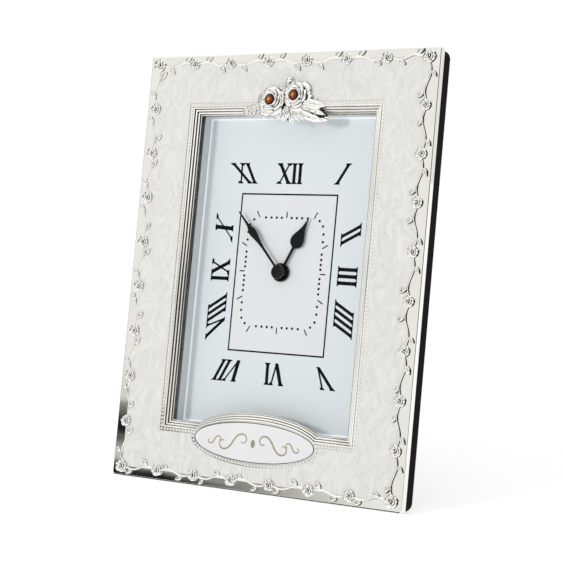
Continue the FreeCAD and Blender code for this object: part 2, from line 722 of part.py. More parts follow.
def back_panel():
    front = DIAL_BACK
    panel = slab(centred_face(PANE_HALF_WIDTH, PANE_HALF_HEIGHT, 0, front), BLOCK_BACK - front)
    hole_half = CASE_SIZE / 2 + PANEL_MOVEMENT_GAP
    hole = slab(centred_face(hole_half, hole_half, CASE_CORNER, front - CUT_OVERRUN),
                BLOCK_BACK - front + 2 * CUT_OVERRUN)
    panel = panel.cut(hole)
    for x in (-RIVET_SPACING / 2, RIVET_SPACING / 2):
        z = HINGE_HEIGHT - HINGE_LEAF_REACH / 2 - HINGE_KNUCKLE_RADIUS
        panel = panel.cut(rod_y(RIVET_RADIUS, x, z, BLOCK_BACK - RIVET_DEPTH,
                                BLOCK_BACK + CUT_OVERRUN))
    return panel


# Turn buttons

def button_places():
    x = POCKET_HALF_WIDTH + BUTTON_PIVOT_FROM_POCKET
    z = POCKET_HALF_HEIGHT - BUTTON_FROM_POCKET_END
    return ((-x, MIDDLE_HEIGHT + z), (x, MIDDLE_HEIGHT + z), (-x, MIDDLE_HEIGHT - z),
            (x, MIDDLE_HEIGHT - z))


def turn_button(place):
    """Oblong button pointing inwards over the back panel."""
    x, z = place
    inward = -1 if x > 0 else 1
    front = BLOCK_BACK + RUN_GAP
    half = BUTTON_WIDTH / 2
    far = BUTTON_LENGTH - BUTTON_WIDTH
    low = min(x, x + inward * far)
    high = max(x, x + inward * far)
    plate = box((low, front, z - half), (high, front + BUTTON_THICKNESS, z + half))
    for end in (x, x + inward * far):
        plate = plate.fuse(rod_y(half, end, z, front, front + BUTTON_THICKNESS))
    hole = rod_y(BUTTON_SCREW_RADIUS + RUN_GAP, x, z, front - CUT_OVERRUN,
                 front + BUTTON_THICKNESS + CUT_OVERRUN)
    return plate.cut(hole).removeSplitter()


def turn_button_screws():
    slot_share = 0.25
    screws = []
    for x, z in button_places():
        head_front = BLOCK_BACK + 2 * RUN_GAP + BUTTON_THICKNESS
        head_back = head_front + BUTTON_SCREW_HEAD
        screw = rod_y(BUTTON_SCREW_RADIUS, x, z, BLOCK_BACK - BUTTON_SCREW_LENGTH, head_back)
        head = rod_y(BUTTON_SCREW_HEAD_RADIUS, x, z, head_front, head_back)
        rim = [e for e in head.Edges if min(v.Y for v in e.Vertexes) >= head_back]
        head = head.makeFillet(BUTTON_SCREW_HEAD / 2, rim)
        screw = screw.fuse(head)
        slot = BUTTON_SCREW_HEAD * slot_share
        reach = BUTTON_SCREW_HEAD_RADIUS + CUT_OVERRUN
        cut = box((x - reach, head_back - 2 * slot, z - slot),
                  (x + reach, head_back + CUT_OVERRUN, z + slot))
        screws.append(screw.cut(cut).removeSplitter())
    return Part.makeCompound(screws)


# Easel leg and hinge

def swung(shape):
    """Turns a piece of the leg from folded to its open place."""
    copy = shape.copy()
    copy.rotate(vec(0, HINGE_DEPTH, HINGE_HEIGHT), ALONG_X, LEG_OPEN_ANGLE)
    return copy


def knuckle(left, right, bore):
    tube = rod_x(HINGE_KNUCKLE_RADIUS, HINGE_DEPTH, HINGE_HEIGHT, left, right)
    return tube.cut(rod_x(bore, HINGE_DEPTH, HINGE_HEIGHT, left - CUT_OVERRUN,
                          right + CUT_OVERRUN))


def leaf_rivet_height():
    return HINGE_HEIGHT - HINGE_LEAF_REACH / 2 - HINGE_KNUCKLE_RADIUS


def fixed_leaf_places():
    inner = HINGE_MIDDLE_KNUCKLE / 2 + HINGE_KNUCKLE_GAP
    return ((-HINGE_LENGTH / 2, -inner), (inner, HINGE_LENGTH / 2))


def hinge_leaf_fixed():
    low = HINGE_HEIGHT - HINGE_LEAF_REACH
    notch_low = HINGE_HEIGHT - HINGE_KNUCKLE_RADIUS - 2 * HINGE_KNUCKLE_GAP
    back = BLOCK_BACK + HINGE_LEAF_THICKNESS
    plate = box((-HINGE_LENGTH / 2, BLOCK_BACK, low), (HINGE_LENGTH / 2, back, notch_low))
    for left, right in fixed_leaf_places():
        plate = plate.fuse(box((left, BLOCK_BACK, notch_low), (right, back, HINGE_HEIGHT)))
        plate = plate.fuse(knuckle(left, right, HINGE_PIN_RADIUS))
        plate = plate.cut(rod_x(HINGE_PIN_RADIUS, HINGE_DEPTH, HINGE_HEIGHT,
                                left - CUT_OVERRUN, right + CUT_OVERRUN))
    for x in (-RIVET_SPACING / 2, RIVET_SPACING / 2):
        plate = plate.cut(rod_y(RIVET_RADIUS, x, leaf_rivet_height(), BLOCK_BACK - CUT_OVERRUN,
                                back + CUT_OVERRUN))
    return plate.removeSplitter()


def leg_front():
    """Depth of the leg's front face when it is folded."""
    return HINGE_DEPTH + HINGE_LEAF_THICKNESS


def hinge_leaf_moving():
    low = HINGE_HEIGHT - HINGE_LEAF_REACH
    front = leg_front() - HINGE_LEAF_THICKNESS
    half = HINGE_MIDDLE_KNUCKLE / 2
    notch_low = HINGE_HEIGHT - HINGE_KNUCKLE_RADIUS - 2 * HINGE_KNUCKLE_GAP
    plate = box((-HINGE_LENGTH / 2, front, low), (HINGE_LENGTH / 2, leg_front(), notch_low))
    plate = plate.fuse(box((-half, front, notch_low), (half, leg_front(), HINGE_HEIGHT)))
    plate = plate.fuse(knuckle(-half, half, HINGE_PIN_RADIUS + RUN_GAP))
    plate = plate.cut(rod_x(HINGE_PIN_RADIUS + RUN_GAP, HINGE_DEPTH, HINGE_HEIGHT,
                            -half - CUT_OVERRUN, half + CUT_OVERRUN))
    for x in (-RIVET_SPACING / 2, RIVET_SPACING / 2):
        plate = plate.cut(rod_y(RIVET_RADIUS, x, leaf_rivet_height(), front - CUT_OVERRUN,
                                leg_front() + CUT_OVERRUN))
    return swung(plate.removeSplitter())


def hinge_pin():
    half = HINGE_LENGTH / 2 + HINGE_PIN_OVERHANG
    return rod_x(HINGE_PIN_RADIUS, HINGE_DEPTH, HINGE_HEIGHT, -half, half)


def hinge_rivets_fixed():
    rivets = []
    for x in (-RIVET_SPACING / 2, RIVET_SPACING / 2):
        rivets.append(rod_y(RIVET_RADIUS, x, leaf_rivet_height(), BLOCK_BACK - RIVET_DEPTH,
                            BLOCK_BACK + HINGE_LEAF_THICKNESS))
    return Part.makeCompound(rivets)


def hinge_rivets_moving():
    rivets = []
    front = leg_front() - HINGE_LEAF_THICKNESS
    back = leg_front() + LEG_THICKNESS
    for x in (-RIVET_SPACING / 2, RIVET_SPACING / 2):
        shank = rod_y(RIVET_RADIUS, x, leaf_rivet_height(), front, back)
        head = rod_y(RIVET_HEAD_RADIUS, x, leaf_rivet_height(), back, back + RIVET_HEAD_HEIGHT)
        rim = [e for e in head.Edges if min(v.Y for v in e.Vertexes) >= back + RIVET_HEAD_HEIGHT]
        head = head.makeFillet(RIVET_HEAD_HEIGHT * 2 / 3, rim)
        rivets.append(swung(shank.fuse(head).removeSplitter()))
    return Part.makeCompound(rivets)


def leg_reach():
    """Length from the pin that brings the whole foot below the surface."""
    lean = math.radians(LEAN_BACK)
    slope = math.radians(LEG_OPEN_ANGLE - LEAN_BACK)
    rise = standing_lift() - HINGE_DEPTH * math.sin(lean) + HINGE_HEIGHT * math.cos(lean)
    back = HINGE_LEAF_THICKNESS + LEG_THICKNESS
    return (rise + back * math.sin(slope)) / math.cos(slope) + SEAT_GAP


def strut_leg():
    """Velvet leg, narrow at the hinge and wide at the foot."""
    top = HINGE_HEIGHT - HINGE_KNUCKLE_RADIUS - 2 * HINGE_KNUCKLE_GAP
    low = HINGE_HEIGHT - leg_reach()
    outline = [(-LEG_TOP_WIDTH / 2, top), (-LEG_FOOT_WIDTH / 2, low), (LEG_FOOT_WIDTH / 2, low),
               (LEG_TOP_WIDTH / 2, top)]
    leg = slab(polygon_face(outline, leg_front()), LEG_THICKNESS)
    rear = leg_front() + LEG_THICKNESS
    rims = [e for e in leg.Edges if min(v.Y for v in e.Vertexes) >= rear]
    leg = leg.makeFillet(LEG_EDGE_ROUND, rims)
    for x in (-RIVET_SPACING / 2, RIVET_SPACING / 2):
        leg = leg.cut(rod_y(RIVET_RADIUS, x, leaf_rivet_height(), leg_front() - CUT_OVERRUN,
                            rear + CUT_OVERRUN))
    return swung(leg)


# Wheels

def involute(angle):
    return math.tan(angle) - angle


def gear_radii(module, teeth):
    pitch = module * teeth / 2
    return pitch, pitch + ADDENDUM_SHARE * module, pitch - DEDENDUM_SHARE * module


def gear_face(module, teeth, tooth_share, phase, y):
    """Toothed outline about the origin; phase is the angle of one tooth's middle."""
    pitch, tip, root = gear_radii(module, teeth)
    pressure = math.radians(PRESSURE_ANGLE)
    base = pitch * math.cos(pressure)
    half_at_pitch = math.pi * tooth_share / teeth
    flank_start = max(base, root)
    flank_steps = 3
    flank = []
    if root < base:
        flank.append((root, half_at_pitch + involute(pressure)))
    for step in range(flank_steps + 1):
        radius = flank_start + (tip - flank_start) * step / flank_steps
        here = math.acos(min(1, base / radius))
        flank.append((radius, half_at_pitch + involute(pressure) - involute(here)))
    points = []
    for number in range(teeth):
        middle = phase + 2 * math.pi * number / teeth
        for radius, half in flank:
            points.append((radius * math.cos(middle - half), radius * math.sin(middle - half)))
        for radius, half in reversed(flank):
            points.append((radius * math.cos(middle + half), radius * math.sin(middle + half)))
    return polygon_face(points, y)


def gear(module, teeth, tooth_share, phase, place, front, back):
    face = gear_face(module, teeth, tooth_share, phase, front)
    return moved(slab(face, back - front), place[0], 0, place[1])


def meshed_phase(module, teeth, phase, other_teeth, bearing):
    """Phase of a second wheel whose tooth gap meets the first wheel's tooth."""
    radius = module * teeth / 2
    other = module * other_teeth / 2
    nearest = (phase - bearing) % (2 * math.pi / teeth)
    return bearing + math.pi - (radius * nearest + math.pi * module / 2) / other


def step_place(place, distance, bearing):
    turn = math.radians(bearing)
    return place[0] + distance * math.cos(turn), place[1] + distance * math.sin(turn)


def train_places():
    """Axis of the centre wheel and of each arbor after it, from the hands' axis."""
    places = [(0.0, 0.0)]
    for module, wheel, pinion, bearing in zip(TRAIN_MODULES, TRAIN_WHEEL_TEETH,
                                              TRAIN_PINION_TEETH, TRAIN_BEARINGS):
        places.append(step_place(places[-1], module * (wheel + pinion) / 2, bearing))
    return places


def motion_place():
    return step_place((0.0, 0.0), MOTION_MODULE * (CANNON_TEETH + MOTION_TEETH) / 2,
                      MOTION_BEARING)


def knob_place():
    return step_place(motion_place(), MOTION_MODULE * (KNOB_TEETH + MOTION_TEETH) / 2,
                      KNOB_BEARING)


def hour_module():
    """The hour pair spans the same distance as the cannon pair."""
    return MOTION_MODULE * (CANNON_TEETH + MOTION_TEETH) / (MOTION_PINION_TEETH + HOUR_TEETH)


def layer(number):
    """Front and back of one layer of wheels."""
    front = CASE_INNER_FRONT + LAYER_START + LAYER_STEP * number
    return front, front + WHEEL_THICKNESS


def pivots(place, front, back):
    return rod_y(ARBOR_RADIUS, place[0], place[1], front, back)


def rotor_span():
    front = layer(5)[1] + 2 * PINION_OVERHANG
    return front, front + ROTOR_THICKNESS


def bridge_front():
    return rotor_span()[1] + SEAT_GAP


def arbor_span():
    """Front pivot in the case, back pivot in the bridge."""
    return CASE_INNER_FRONT - PIVOT_DEPTH, bridge_front() + PIVOT_DEPTH


def train_wheel(number):
    """Arbor of the train: its pinion, its own wheel, and the pivots."""
    places = [on_movement(p) for p in train_places()]
    place = places[number]
    driver = number - 1
    bearing = math.radians(TRAIN_BEARINGS[driver])
    phase = meshed_phase(TRAIN_MODULES[driver], TRAIN_WHEEL_TEETH[driver], 0,
                         TRAIN_PINION_TEETH[driver], bearing)
    front, back = layer(number + 1)
    pinion = gear(TRAIN_MODULES[driver], TRAIN_PINION_TEETH[driver], PINION_TOOTH_SHARE, phase,
                  place, front - PINION_OVERHANG, back + PINION_OVERHANG)
    span = arbor_span()
    whole = pinion.fuse(pivots(place, span[0], span[1]))
    if number < len(TRAIN_MODULES):
        front, back = layer(number + 2)
        wheel = gear(TRAIN_MODULES[number], TRAIN_WHEEL_TEETH[number], WHEEL_TOOTH_SHARE, 0,
                     place, front, back)
        whole = whole.fuse(wheel)
    return whole.removeSplitter()


def third_wheel():
    return train_wheel(1)


def seconds_wheel():
    return train_wheel(2)


def fifth_wheel():
    return train_wheel(3)


def rotor_pinion():
    return train_wheel(4)


def rotor_magnet():
    x, z = on_movement(train_places()[4])
    front, back = rotor_span()
    return rod_y(ROTOR_RADIUS, x, z, front, back).cut(
        rod_y(ARBOR_RADIUS, x, z, front - CUT_OVERRUN, back + CUT_OVERRUN))


def centre_wheel():
    """Train wheel that drives the minute shaft through the slipping spring."""
    front, back = layer(2)
    wheel = gear(TRAIN_MODULES[0], TRAIN_WHEEL_TEETH[0], WHEEL_TOOTH_SHARE, 0,
                 (0, MIDDLE_HEIGHT), front, back)
    return wheel.cut(rod_y(MINUTE_REAR_RADIUS + RUN_GAP, 0, MIDDLE_HEIGHT, front - CUT_OVERRUN,
                           back + CUT_OVERRUN))


def clutch_spring():
    """Dished washer pressed on the shaft behind the centre wheel."""
    front = layer(2)[1] + RUN_GAP
    back = front + HAND_THICKNESS
    ring = rod_y(MINUTE_SHAFT_RADIUS * 2, 0, MIDDLE_HEIGHT, front, back)
    return ring.cut(rod_y(MINUTE_REAR_RADIUS, 0, MIDDLE_HEIGHT, front - CUT_OVERRUN,
                          back + CUT_OVERRUN))


def minute_shaft():
    """Cannon pinion with the shaft that runs through the hour pipe."""
    front, back = layer(1)
    x = 0
    z = MIDDLE_HEIGHT
    pinion = gear(MOTION_MODULE, CANNON_TEETH, PINION_TOOTH_SHARE, 0, (x, z), front, back)
    wheel_front = layer(2)[0]
    shaft = rod_y(MINUTE_SHAFT_RADIUS, x, z, MINUTE_HAND_BACK, wheel_front - RUN_GAP)
    seat = rod_y(MINUTE_HAND_SEAT_RADIUS, x, z, MINUTE_HAND_BACK - HAND_THICKNESS,
                 MINUTE_HAND_BACK)
    tip = rod_y(MINUTE_TIP_RADIUS, x, z, MINUTE_HAND_BACK - HAND_THICKNESS - CAP_HEIGHT / 2,
                MINUTE_HAND_BACK)
    rear = rod_y(MINUTE_REAR_RADIUS, x, z, wheel_front - WHEEL_THICKNESS, arbor_span()[1])
    return pinion.multiFuse([shaft, seat, tip, rear]).removeSplitter()


def hour_wheel():
    """Hour wheel with the pipe that carries the hour hand."""
    front, back = layer(0)
    x, z = 0, MIDDLE_HEIGHT
    wheel = gear(hour_module(), HOUR_TEETH, WHEEL_TOOTH_SHARE, 0, (x, z), front, back)
    pipe = rod_y(HOUR_PIPE_OUTER, x, z, HOUR_HAND_BACK - HAND_THICKNESS, back)
    bore = rod_y(HOUR_PIPE_INNER, x, z, HOUR_HAND_BACK - CUT_OVERRUN, back + CUT_OVERRUN)
    return wheel.fuse(pipe).cut(bore).removeSplitter()


def motion_wheel():
    """Wheel and pinion between the cannon pinion and the hour wheel, on a fixed stud."""
    place = on_movement(motion_place())
    bearing = math.radians(MOTION_BEARING)
    wheel_front, wheel_back = layer(1)
    pinion_front, pinion_back = layer(0)
    phase = meshed_phase(MOTION_MODULE, CANNON_TEETH, 0, MOTION_TEETH, bearing)
    wheel = gear(MOTION_MODULE, MOTION_TEETH, WHEEL_TOOTH_SHARE, phase, place, wheel_front,
                 wheel_back)
    phase = meshed_phase(hour_module(), HOUR_TEETH, 0, MOTION_PINION_TEETH, bearing)
    pinion = gear(hour_module(), MOTION_PINION_TEETH, PINION_TOOTH_SHARE, phase, place,
                  pinion_front, wheel_front)
    bore = rod_y(MOTION_STUD_RADIUS + RUN_GAP, place[0], place[1],
                 pinion_front - CUT_OVERRUN, wheel_back + CUT_OVERRUN)
    return pinion.fuse(wheel).cut(bore).removeSplitter()


def set_knob_shaft():
    place = on_movement(knob_place())
    front, back = layer(1)
    first = meshed_phase(MOTION_MODULE, CANNON_TEETH, 0, MOTION_TEETH,
                         math.radians(MOTION_BEARING))
    phase = meshed_phase(MOTION_MODULE, MOTION_TEETH, first, KNOB_TEETH,
                         math.radians(KNOB_BEARING))
    pinion = gear(MOTION_MODULE, KNOB_TEETH, PINION_TOOTH_SHARE, phase, place, front, back)
    shaft = rod_y(KNOB_SHAFT_RADIUS, place[0], place[1], front, CASE_BACK + KNOB_LENGTH / 2)
    tip = pivots(place, arbor_span()[0], front + WHEEL_THICKNESS)
    return pinion.multiFuse([shaft, tip]).removeSplitter()


def set_knob():
    """Ribbed knob on the back of the movement."""
    x, z = on_movement(knob_place())
    front = CASE_BACK + SEAT_GAP
    back = front + KNOB_LENGTH
    knob = rod_y(KNOB_RADIUS, x, z, front, back)
    groove = rod_y(KNOB_RIB_DEPTH, x + KNOB_RADIUS, z, front - CUT_OVERRUN,
                   back + CUT_OVERRUN)
    grooves = [turned(groove, 360 * n / KNOB_RIBS, x, z) for n in range(KNOB_RIBS)]
    knob = knob.cut(Part.makeCompound(grooves))
    return knob.cut(rod_y(KNOB_SHAFT_RADIUS, x, z, front - CUT_OVERRUN,
                          CASE_BACK + KNOB_LENGTH / 2))


# Movement case and what it holds

def mounting_pad():
    """Foam pad that sticks the movement to the dial plate."""
    half = CASE_SIZE / 2 - PAD_INSET
    pad = slab(centred_face(half, half, CASE_CORNER, DIAL_BACK), PAD_THICKNESS)
    return pad.cut(rod_y(BUSH_RADIUS + THIN_GAP, 0, MIDDLE_HEIGHT, DIAL_BACK - CUT_OVERRUN,
                         CASE_FRONT + CUT_OVERRUN))


def bay_limits():
    """Lowest and highest point of the battery bay."""
    middle = MIDDLE_HEIGHT - BATTERY_AXIS_DROP
    return middle - BAY_HEIGHT / 2, middle + BAY_HEIGHT / 2


def partition(front, back):
    """Wall between the wheels and the battery, notched for the contact tails."""
    floor = bay_limits()[1]
    inner = CASE_INNER_HALF
    wall = box((-inner, front, floor), (inner, back, floor + CASE_WALL))
    notch = CONTACT_THICKNESS + 2 * THIN_GAP
    for left in (-inner, inner - notch):
        wall = wall.cut(box((left, front - CUT_OVERRUN, floor - CUT_OVERRUN),
                            (left + notch, back + CUT_OVERRUN, floor + CUT_OVERRUN)))
    return wall


def post_places():
    """Posts under the train bridge, as shares of the case's inner half width."""
    shares = ((-0.47, -0.29), (0.87, -0.27), (0.80, 0.53), (-0.15, 0.52))
    return [on_movement((CASE_INNER_HALF * a, CASE_INNER_HALF * b)) for a, b in shares]


def pcb_limits():
    left = -CASE_INNER_HALF + CONTACT_THICKNESS + 3 * THIN_GAP
    top = MIDDLE_HEIGHT + CASE_INNER_HALF - CASE_CORNER / 2
    return left, left + BOARD_PCB_WIDTH, top - BOARD_PCB_HEIGHT, top


def pcb_front():
    return CASE_JOIN + CASE_WALL


def pcb_post_places():
    left, right, low, high = pcb_limits()
    inset = 2 * POST_RADIUS
    return ((left + inset, high - inset), (right - inset, high - inset),
            (left + inset, low + inset))


def movement_case_front():
    """Front half of the case, with the bush, wheel posts and pivot holes."""
    half = CASE_SIZE / 2
    case = slab(centred_face(half, half, CASE_CORNER, CASE_FRONT), CASE_SPLIT)
    hollow = slab(centred_face(CASE_INNER_HALF, CASE_INNER_HALF, CASE_CORNER - CASE_WALL,
                               CASE_INNER_FRONT), CASE_SPLIT)
    case = case.cut(hollow)
    extras = [partition(CASE_INNER_FRONT, CASE_JOIN)]
    extras.append(rod_y(BUSH_RADIUS, 0, MIDDLE_HEIGHT, DIAL_DEPTH - BUSH_PROUD, CASE_FRONT))
    for x, z in post_places():
        extras.append(rod_y(POST_RADIUS, x, z, CASE_INNER_FRONT, bridge_front()))
    for x, z in pcb_post_places():
        extras.append(rod_y(POST_RADIUS, x, z, CASE_INNER_FRONT, pcb_front()))
    x, z = on_movement(motion_place())
    extras.append(rod_y(MOTION_STUD_RADIUS, x, z, CASE_INNER_FRONT, layer(1)[1]))
    case = case.multiFuse(extras)
    case = case.cut(rod_y(HOUR_PIPE_OUTER + PIPE_GAP, 0, MIDDLE_HEIGHT, 0, CASE_JOIN))
    arbors = [on_movement(p) for p in train_places()[1:]] + [on_movement(knob_place())]
    for x, z in arbors:
        case = case.cut(rod_y(ARBOR_RADIUS + RUN_GAP, x, z, CASE_INNER_FRONT - PIVOT_DEPTH -
                              RUN_GAP, CASE_JOIN))
    return case.removeSplitter()


def movement_case_back():
    """Back half of the case, open over the battery."""
    half = CASE_SIZE / 2
    depth = CASE_BACK - CASE_JOIN
    case = slab(centred_face(half, half, CASE_CORNER, CASE_JOIN), depth)
    rims = [e for e in case.Edges if min(v.Y for v in e.Vertexes) >= CASE_BACK]
    case = case.makeFillet(CASE_WALL / 2, rims)
    hollow = slab(centred_face(CASE_INNER_HALF, CASE_INNER_HALF, CASE_CORNER - CASE_WALL,
                               CASE_JOIN - CUT_OVERRUN), depth - CASE_WALL + CUT_OVERRUN)
    case = case.cut(hollow)
    case = case.fuse(partition(CASE_JOIN, CASE_INNER_BACK))
    low, high = bay_limits()
    mouth_half = CASE_INNER_HALF - BAY_LEDGE
    mouth = box((-mouth_half, CASE_INNER_BACK - CUT_OVERRUN, low + BAY_LEDGE),
                (mouth_half, CASE_BACK + CUT_OVERRUN, high - BAY_LEDGE))
    case = case.cut(mouth)
    x, z = on_movement(knob_place())
    case = case.cut(rod_y(KNOB_SHAFT_RADIUS + PIPE_GAP, x, z, CASE_JOIN,
                          CASE_BACK + CUT_OVERRUN))
    return case.removeSplitter()


def train_bridge():
    """Plate that holds the back pivots of the wheels."""
    posts = post_places()
    left = min(p[0] for p in posts) - POST_RADIUS
    right = max(p[0] for p in posts) + POST_RADIUS
    low = min(p[1] for p in posts) - POST_RADIUS
    high = max(p[1] for p in posts) + POST_RADIUS
    front = bridge_front()
    plate = box((left, front, low), (right, front + BRIDGE_THICKNESS, high))
    for point in train_places()[1:]:
        x, z = on_movement(point)
        plate = plate.cut(rod_y(ARBOR_RADIUS + RUN_GAP, x, z, front - CUT_OVERRUN,
                                front + BRIDGE_THICKNESS + CUT_OVERRUN))
    plate = plate.cut(rod_y(MINUTE_REAR_RADIUS + RUN_GAP, 0, MIDDLE_HEIGHT,
                            front - CUT_OVERRUN, front + BRIDGE_THICKNESS + CUT_OVERRUN))
    x, z = on_movement(knob_place())
    return plate.cut(rod_y(KNOB_SHAFT_RADIUS + SEAT_GAP, x, z, front - CUT_OVERRUN,
                           front + BRIDGE_THICKNESS + CUT_OVERRUN))


def core_middle():
    """Depth of the coil's axis and of the stator plate's middle."""
    front, back = rotor_span()
    return (front + back) / 2


def stator():
    """Soft iron plate round the rotor, with two arms up to the coil core."""
    rotor = train_places()[4]
    ring_share = 1.9
    arm = CORE_HEIGHT
    front = core_middle() - CORE_THICKNESS / 2
    back = front + CORE_THICKNESS
    x, z = on_movement(rotor)
    core_low = MIDDLE_HEIGHT + CORE_LIFT - CORE_HEIGHT / 2
    plate = rod_y(ROTOR_RADIUS * ring_share, x, z, front, back)
    right = box((CORE_RIGHT - arm, front, z), (CORE_RIGHT, back, core_low))
    inner_low = core_low - 2 * arm
    left_riser = box((x - arm, front, z), (x - THIN_GAP, back, inner_low + arm / 2))
    crossing = box((CORE_LEFT, front, inner_low - arm / 2), (x - THIN_GAP, back,
                                                             inner_low + arm / 2))
    left_arm = box((CORE_LEFT, front, inner_low), (CORE_LEFT + arm, back, core_low))
    plate = plate.multiFuse([right, left_riser, crossing, left_arm])
    hole = rod_y(ROTOR_RADIUS + SEAT_GAP, x, z, front - CUT_OVERRUN, back + CUT_OVERRUN)
    plate = plate.cut(hole)
    for px, pz in post_places():
        plate = plate.cut(rod_y(POST_RADIUS + SEAT_GAP, px, pz, front - CUT_OVERRUN,
                                back + CUT_OVERRUN))
    return plate.removeSplitter()


def coil_core():
    low = MIDDLE_HEIGHT + CORE_LIFT - CORE_HEIGHT / 2
    front = core_middle() - CORE_THICKNESS / 2
    return box((CORE_LEFT, front, low), (CORE_RIGHT, front + CORE_THICKNESS,
                                         low + CORE_HEIGHT))


def coil_span():
    middle = (CORE_LEFT + CORE_RIGHT) / 2
    return middle - COIL_LENGTH / 2, middle + COIL_LENGTH / 2


def coil_bobbin():
    left, right = coil_span()
    z = MIDDLE_HEIGHT + CORE_LIFT
    y = core_middle()
    tube = rod_x(BOBBIN_TUBE_RADIUS, y, z, left - BOBBIN_FLANGE, right + BOBBIN_FLANGE)
    for start in (left - BOBBIN_FLANGE, right):
        tube = tube.fuse(rod_x(BOBBIN_RADIUS, y, z, start, start + BOBBIN_FLANGE))
    slot_height = CORE_HEIGHT / 2 + RUN_GAP
    slot_depth = CORE_THICKNESS / 2 + RUN_GAP
    slot = box((CORE_LEFT, y - slot_depth, z - slot_height),
               (CORE_RIGHT, y + slot_depth, z + slot_height))
    return tube.cut(slot).removeSplitter()


def coil_winding():
    left, right = coil_span()
    z = MIDDLE_HEIGHT + CORE_LIFT
    y = core_middle()
    return rod_x(COIL_RADIUS, y, z, left, right).cut(
        rod_x(BOBBIN_TUBE_RADIUS, y, z, left - CUT_OVERRUN, right + CUT_OVERRUN))


def circuit_board():
    left, right, low, high = pcb_limits()
    front = pcb_front()
    return box((left, front, low), (right, front + BOARD_PCB_THICKNESS, high))


def quartz_crystal():
    left, right, low, high = pcb_limits()
    y = pcb_front() + BOARD_PCB_THICKNESS + QUARTZ_RADIUS
    z = (low + high) / 2
    start = left + BOARD_PCB_WIDTH / 2 - QUARTZ_LENGTH / 2
    return rod_x(QUARTZ_RADIUS, y, z, start, start + QUARTZ_LENGTH)


def battery_depth():
    """Depth of the battery's axis: it lies just clear of the case's front wall."""
    return CASE_INNER_FRONT + THIN_GAP + BATTERY_RADIUS


def battery_cell():
    y = battery_depth()
    z = MIDDLE_HEIGHT - BATTERY_AXIS_DROP
    half = BATTERY_BODY_LENGTH / 2
    body = rod_x(BATTERY_RADIUS, y, z, -half, half)
    body = body.makeFillet(CASE_WALL / 2, [e for e in body.Edges if len(e.Vertexes) == 1])
    nub = rod_x(BATTERY_NUB_RADIUS, y, z, -half - BATTERY_NUB_LENGTH, -half)
    return body.fuse(nub).removeSplitter()


def contact_strip(side):
    """Contact plate at one end of the bay, with its tail up to the circuit side."""
    inner = CASE_INNER_HALF - THIN_GAP
    z = MIDDLE_HEIGHT - BATTERY_AXIS_DROP
    y = battery_depth()
    ends = sorted((side * inner, side * (inner - CONTACT_THICKNESS)))
    half = CONTACT_WIDTH / 2
    tail_top = bay_limits()[1] + BAY_HEIGHT
    plate = box((ends[0], y - half, z - half), (ends[1], y + half, z + half))
    tail_half = CONTACT_TAIL_WIDTH / 2
    tail = box((ends[0], y - tail_half, z), (ends[1], y + tail_half, tail_top))
    return plate.fuse(tail).removeSplitter()


def battery_contact_positive():
    return contact_strip(-1)


def battery_contact_negative():
    """Negative contact: the strip with a sprung tongue that reaches the battery."""
    strip = contact_strip(1)
    face = CASE_INNER_HALF - THIN_GAP - CONTACT_THICKNESS
    y = battery_depth()
    z = MIDDLE_HEIGHT - BATTERY_AXIS_DROP
    reach = CASE_INNER_HALF - BATTERY_BODY_LENGTH / 2 - CONTACT_BEND
    half = CONTACT_WIDTH / 2
    outline = [vec(face, y, z + half), vec(face - reach, y, z), vec(face, y, z - half),
               vec(face, y, z - half + CONTACT_THICKNESS),
               vec(face - reach + CONTACT_THICKNESS, y, z),
               vec(face, y, z + half - CONTACT_THICKNESS), vec(face, y, z + half)]
    width = CONTACT_TAIL_WIDTH
    tongue = Part.Face(Part.makePolygon(outline)).extrude(vec(0, width, 0))
    tongue.translate(vec(0, -width / 2, 0))
    return strip.fuse(tongue).removeSplitter()


# Hands

def hand_blade(shares, length, width, y):
    """Symmetric blade from shares (along, half width), pointing up from the hub."""
    right = [vec(width / 2 * w, y, MIDDLE_HEIGHT + length * a) for a, w in shares]
    left = [vec(-p.x, p.y, p.z) for p in reversed(right)]
    edges = []
    for side in (right, left):
        curve = Part.BSplineCurve()
        curve.interpolate(side)
        edges.append(curve.toShape())
    edges.insert(1, Part.LineSegment(right[-1], left[0]).toShape())
    edges.append(Part.LineSegment(left[-1], right[0]).toShape())
    return slab(Part.Face(Part.Wire(edges)), HAND_THICKNESS)


def minute_hand():
    front = MINUTE_HAND_BACK - HAND_THICKNESS
    shares = ((0.0, 0.34), (0.2, 0.40), (0.4, 0.72), (0.6, 1.0), (0.72, 0.78), (0.84, 0.36),
              (1.0, 0.10))
    blade = hand_blade(shares, MINUTE_HAND_LENGTH, MINUTE_HAND_WIDTH, front)
    hub = rod_y(MINUTE_HUB_RADIUS, 0, MIDDLE_HEIGHT, front, MINUTE_HAND_BACK)
    hole = rod_y(MINUTE_HAND_SEAT_RADIUS, 0, MIDDLE_HEIGHT, front - CUT_OVERRUN,
                 MINUTE_HAND_BACK + CUT_OVERRUN)
    hand = blade.fuse(hub).cut(hole).removeSplitter()
    return turned(hand, MINUTE_ANGLE, 0, MIDDLE_HEIGHT)


def hour_hand():
    front = HOUR_HAND_BACK - HAND_THICKNESS
    shares = ((0.0, 0.22), (0.2, 0.22), (0.36, 0.24), (0.46, 0.72), (0.56, 1.0), (0.68, 0.80),
              (0.80, 0.36), (0.90, 0.14), (1.0, 0.05))
    blade = hand_blade(shares, HOUR_HAND_LENGTH, HOUR_HAND_WIDTH, front)
    hub = rod_y(HOUR_HUB_RADIUS, 0, MIDDLE_HEIGHT, front, HOUR_HAND_BACK)
    hole = rod_y(HOUR_PIPE_OUTER, 0, MIDDLE_HEIGHT, front - CUT_OVERRUN,
                 HOUR_HAND_BACK + CUT_OVERRUN)
    hand = blade.fuse(hub).cut(hole).removeSplitter()
    return turned(hand, HOUR_ANGLE, 0, MIDDLE_HEIGHT)


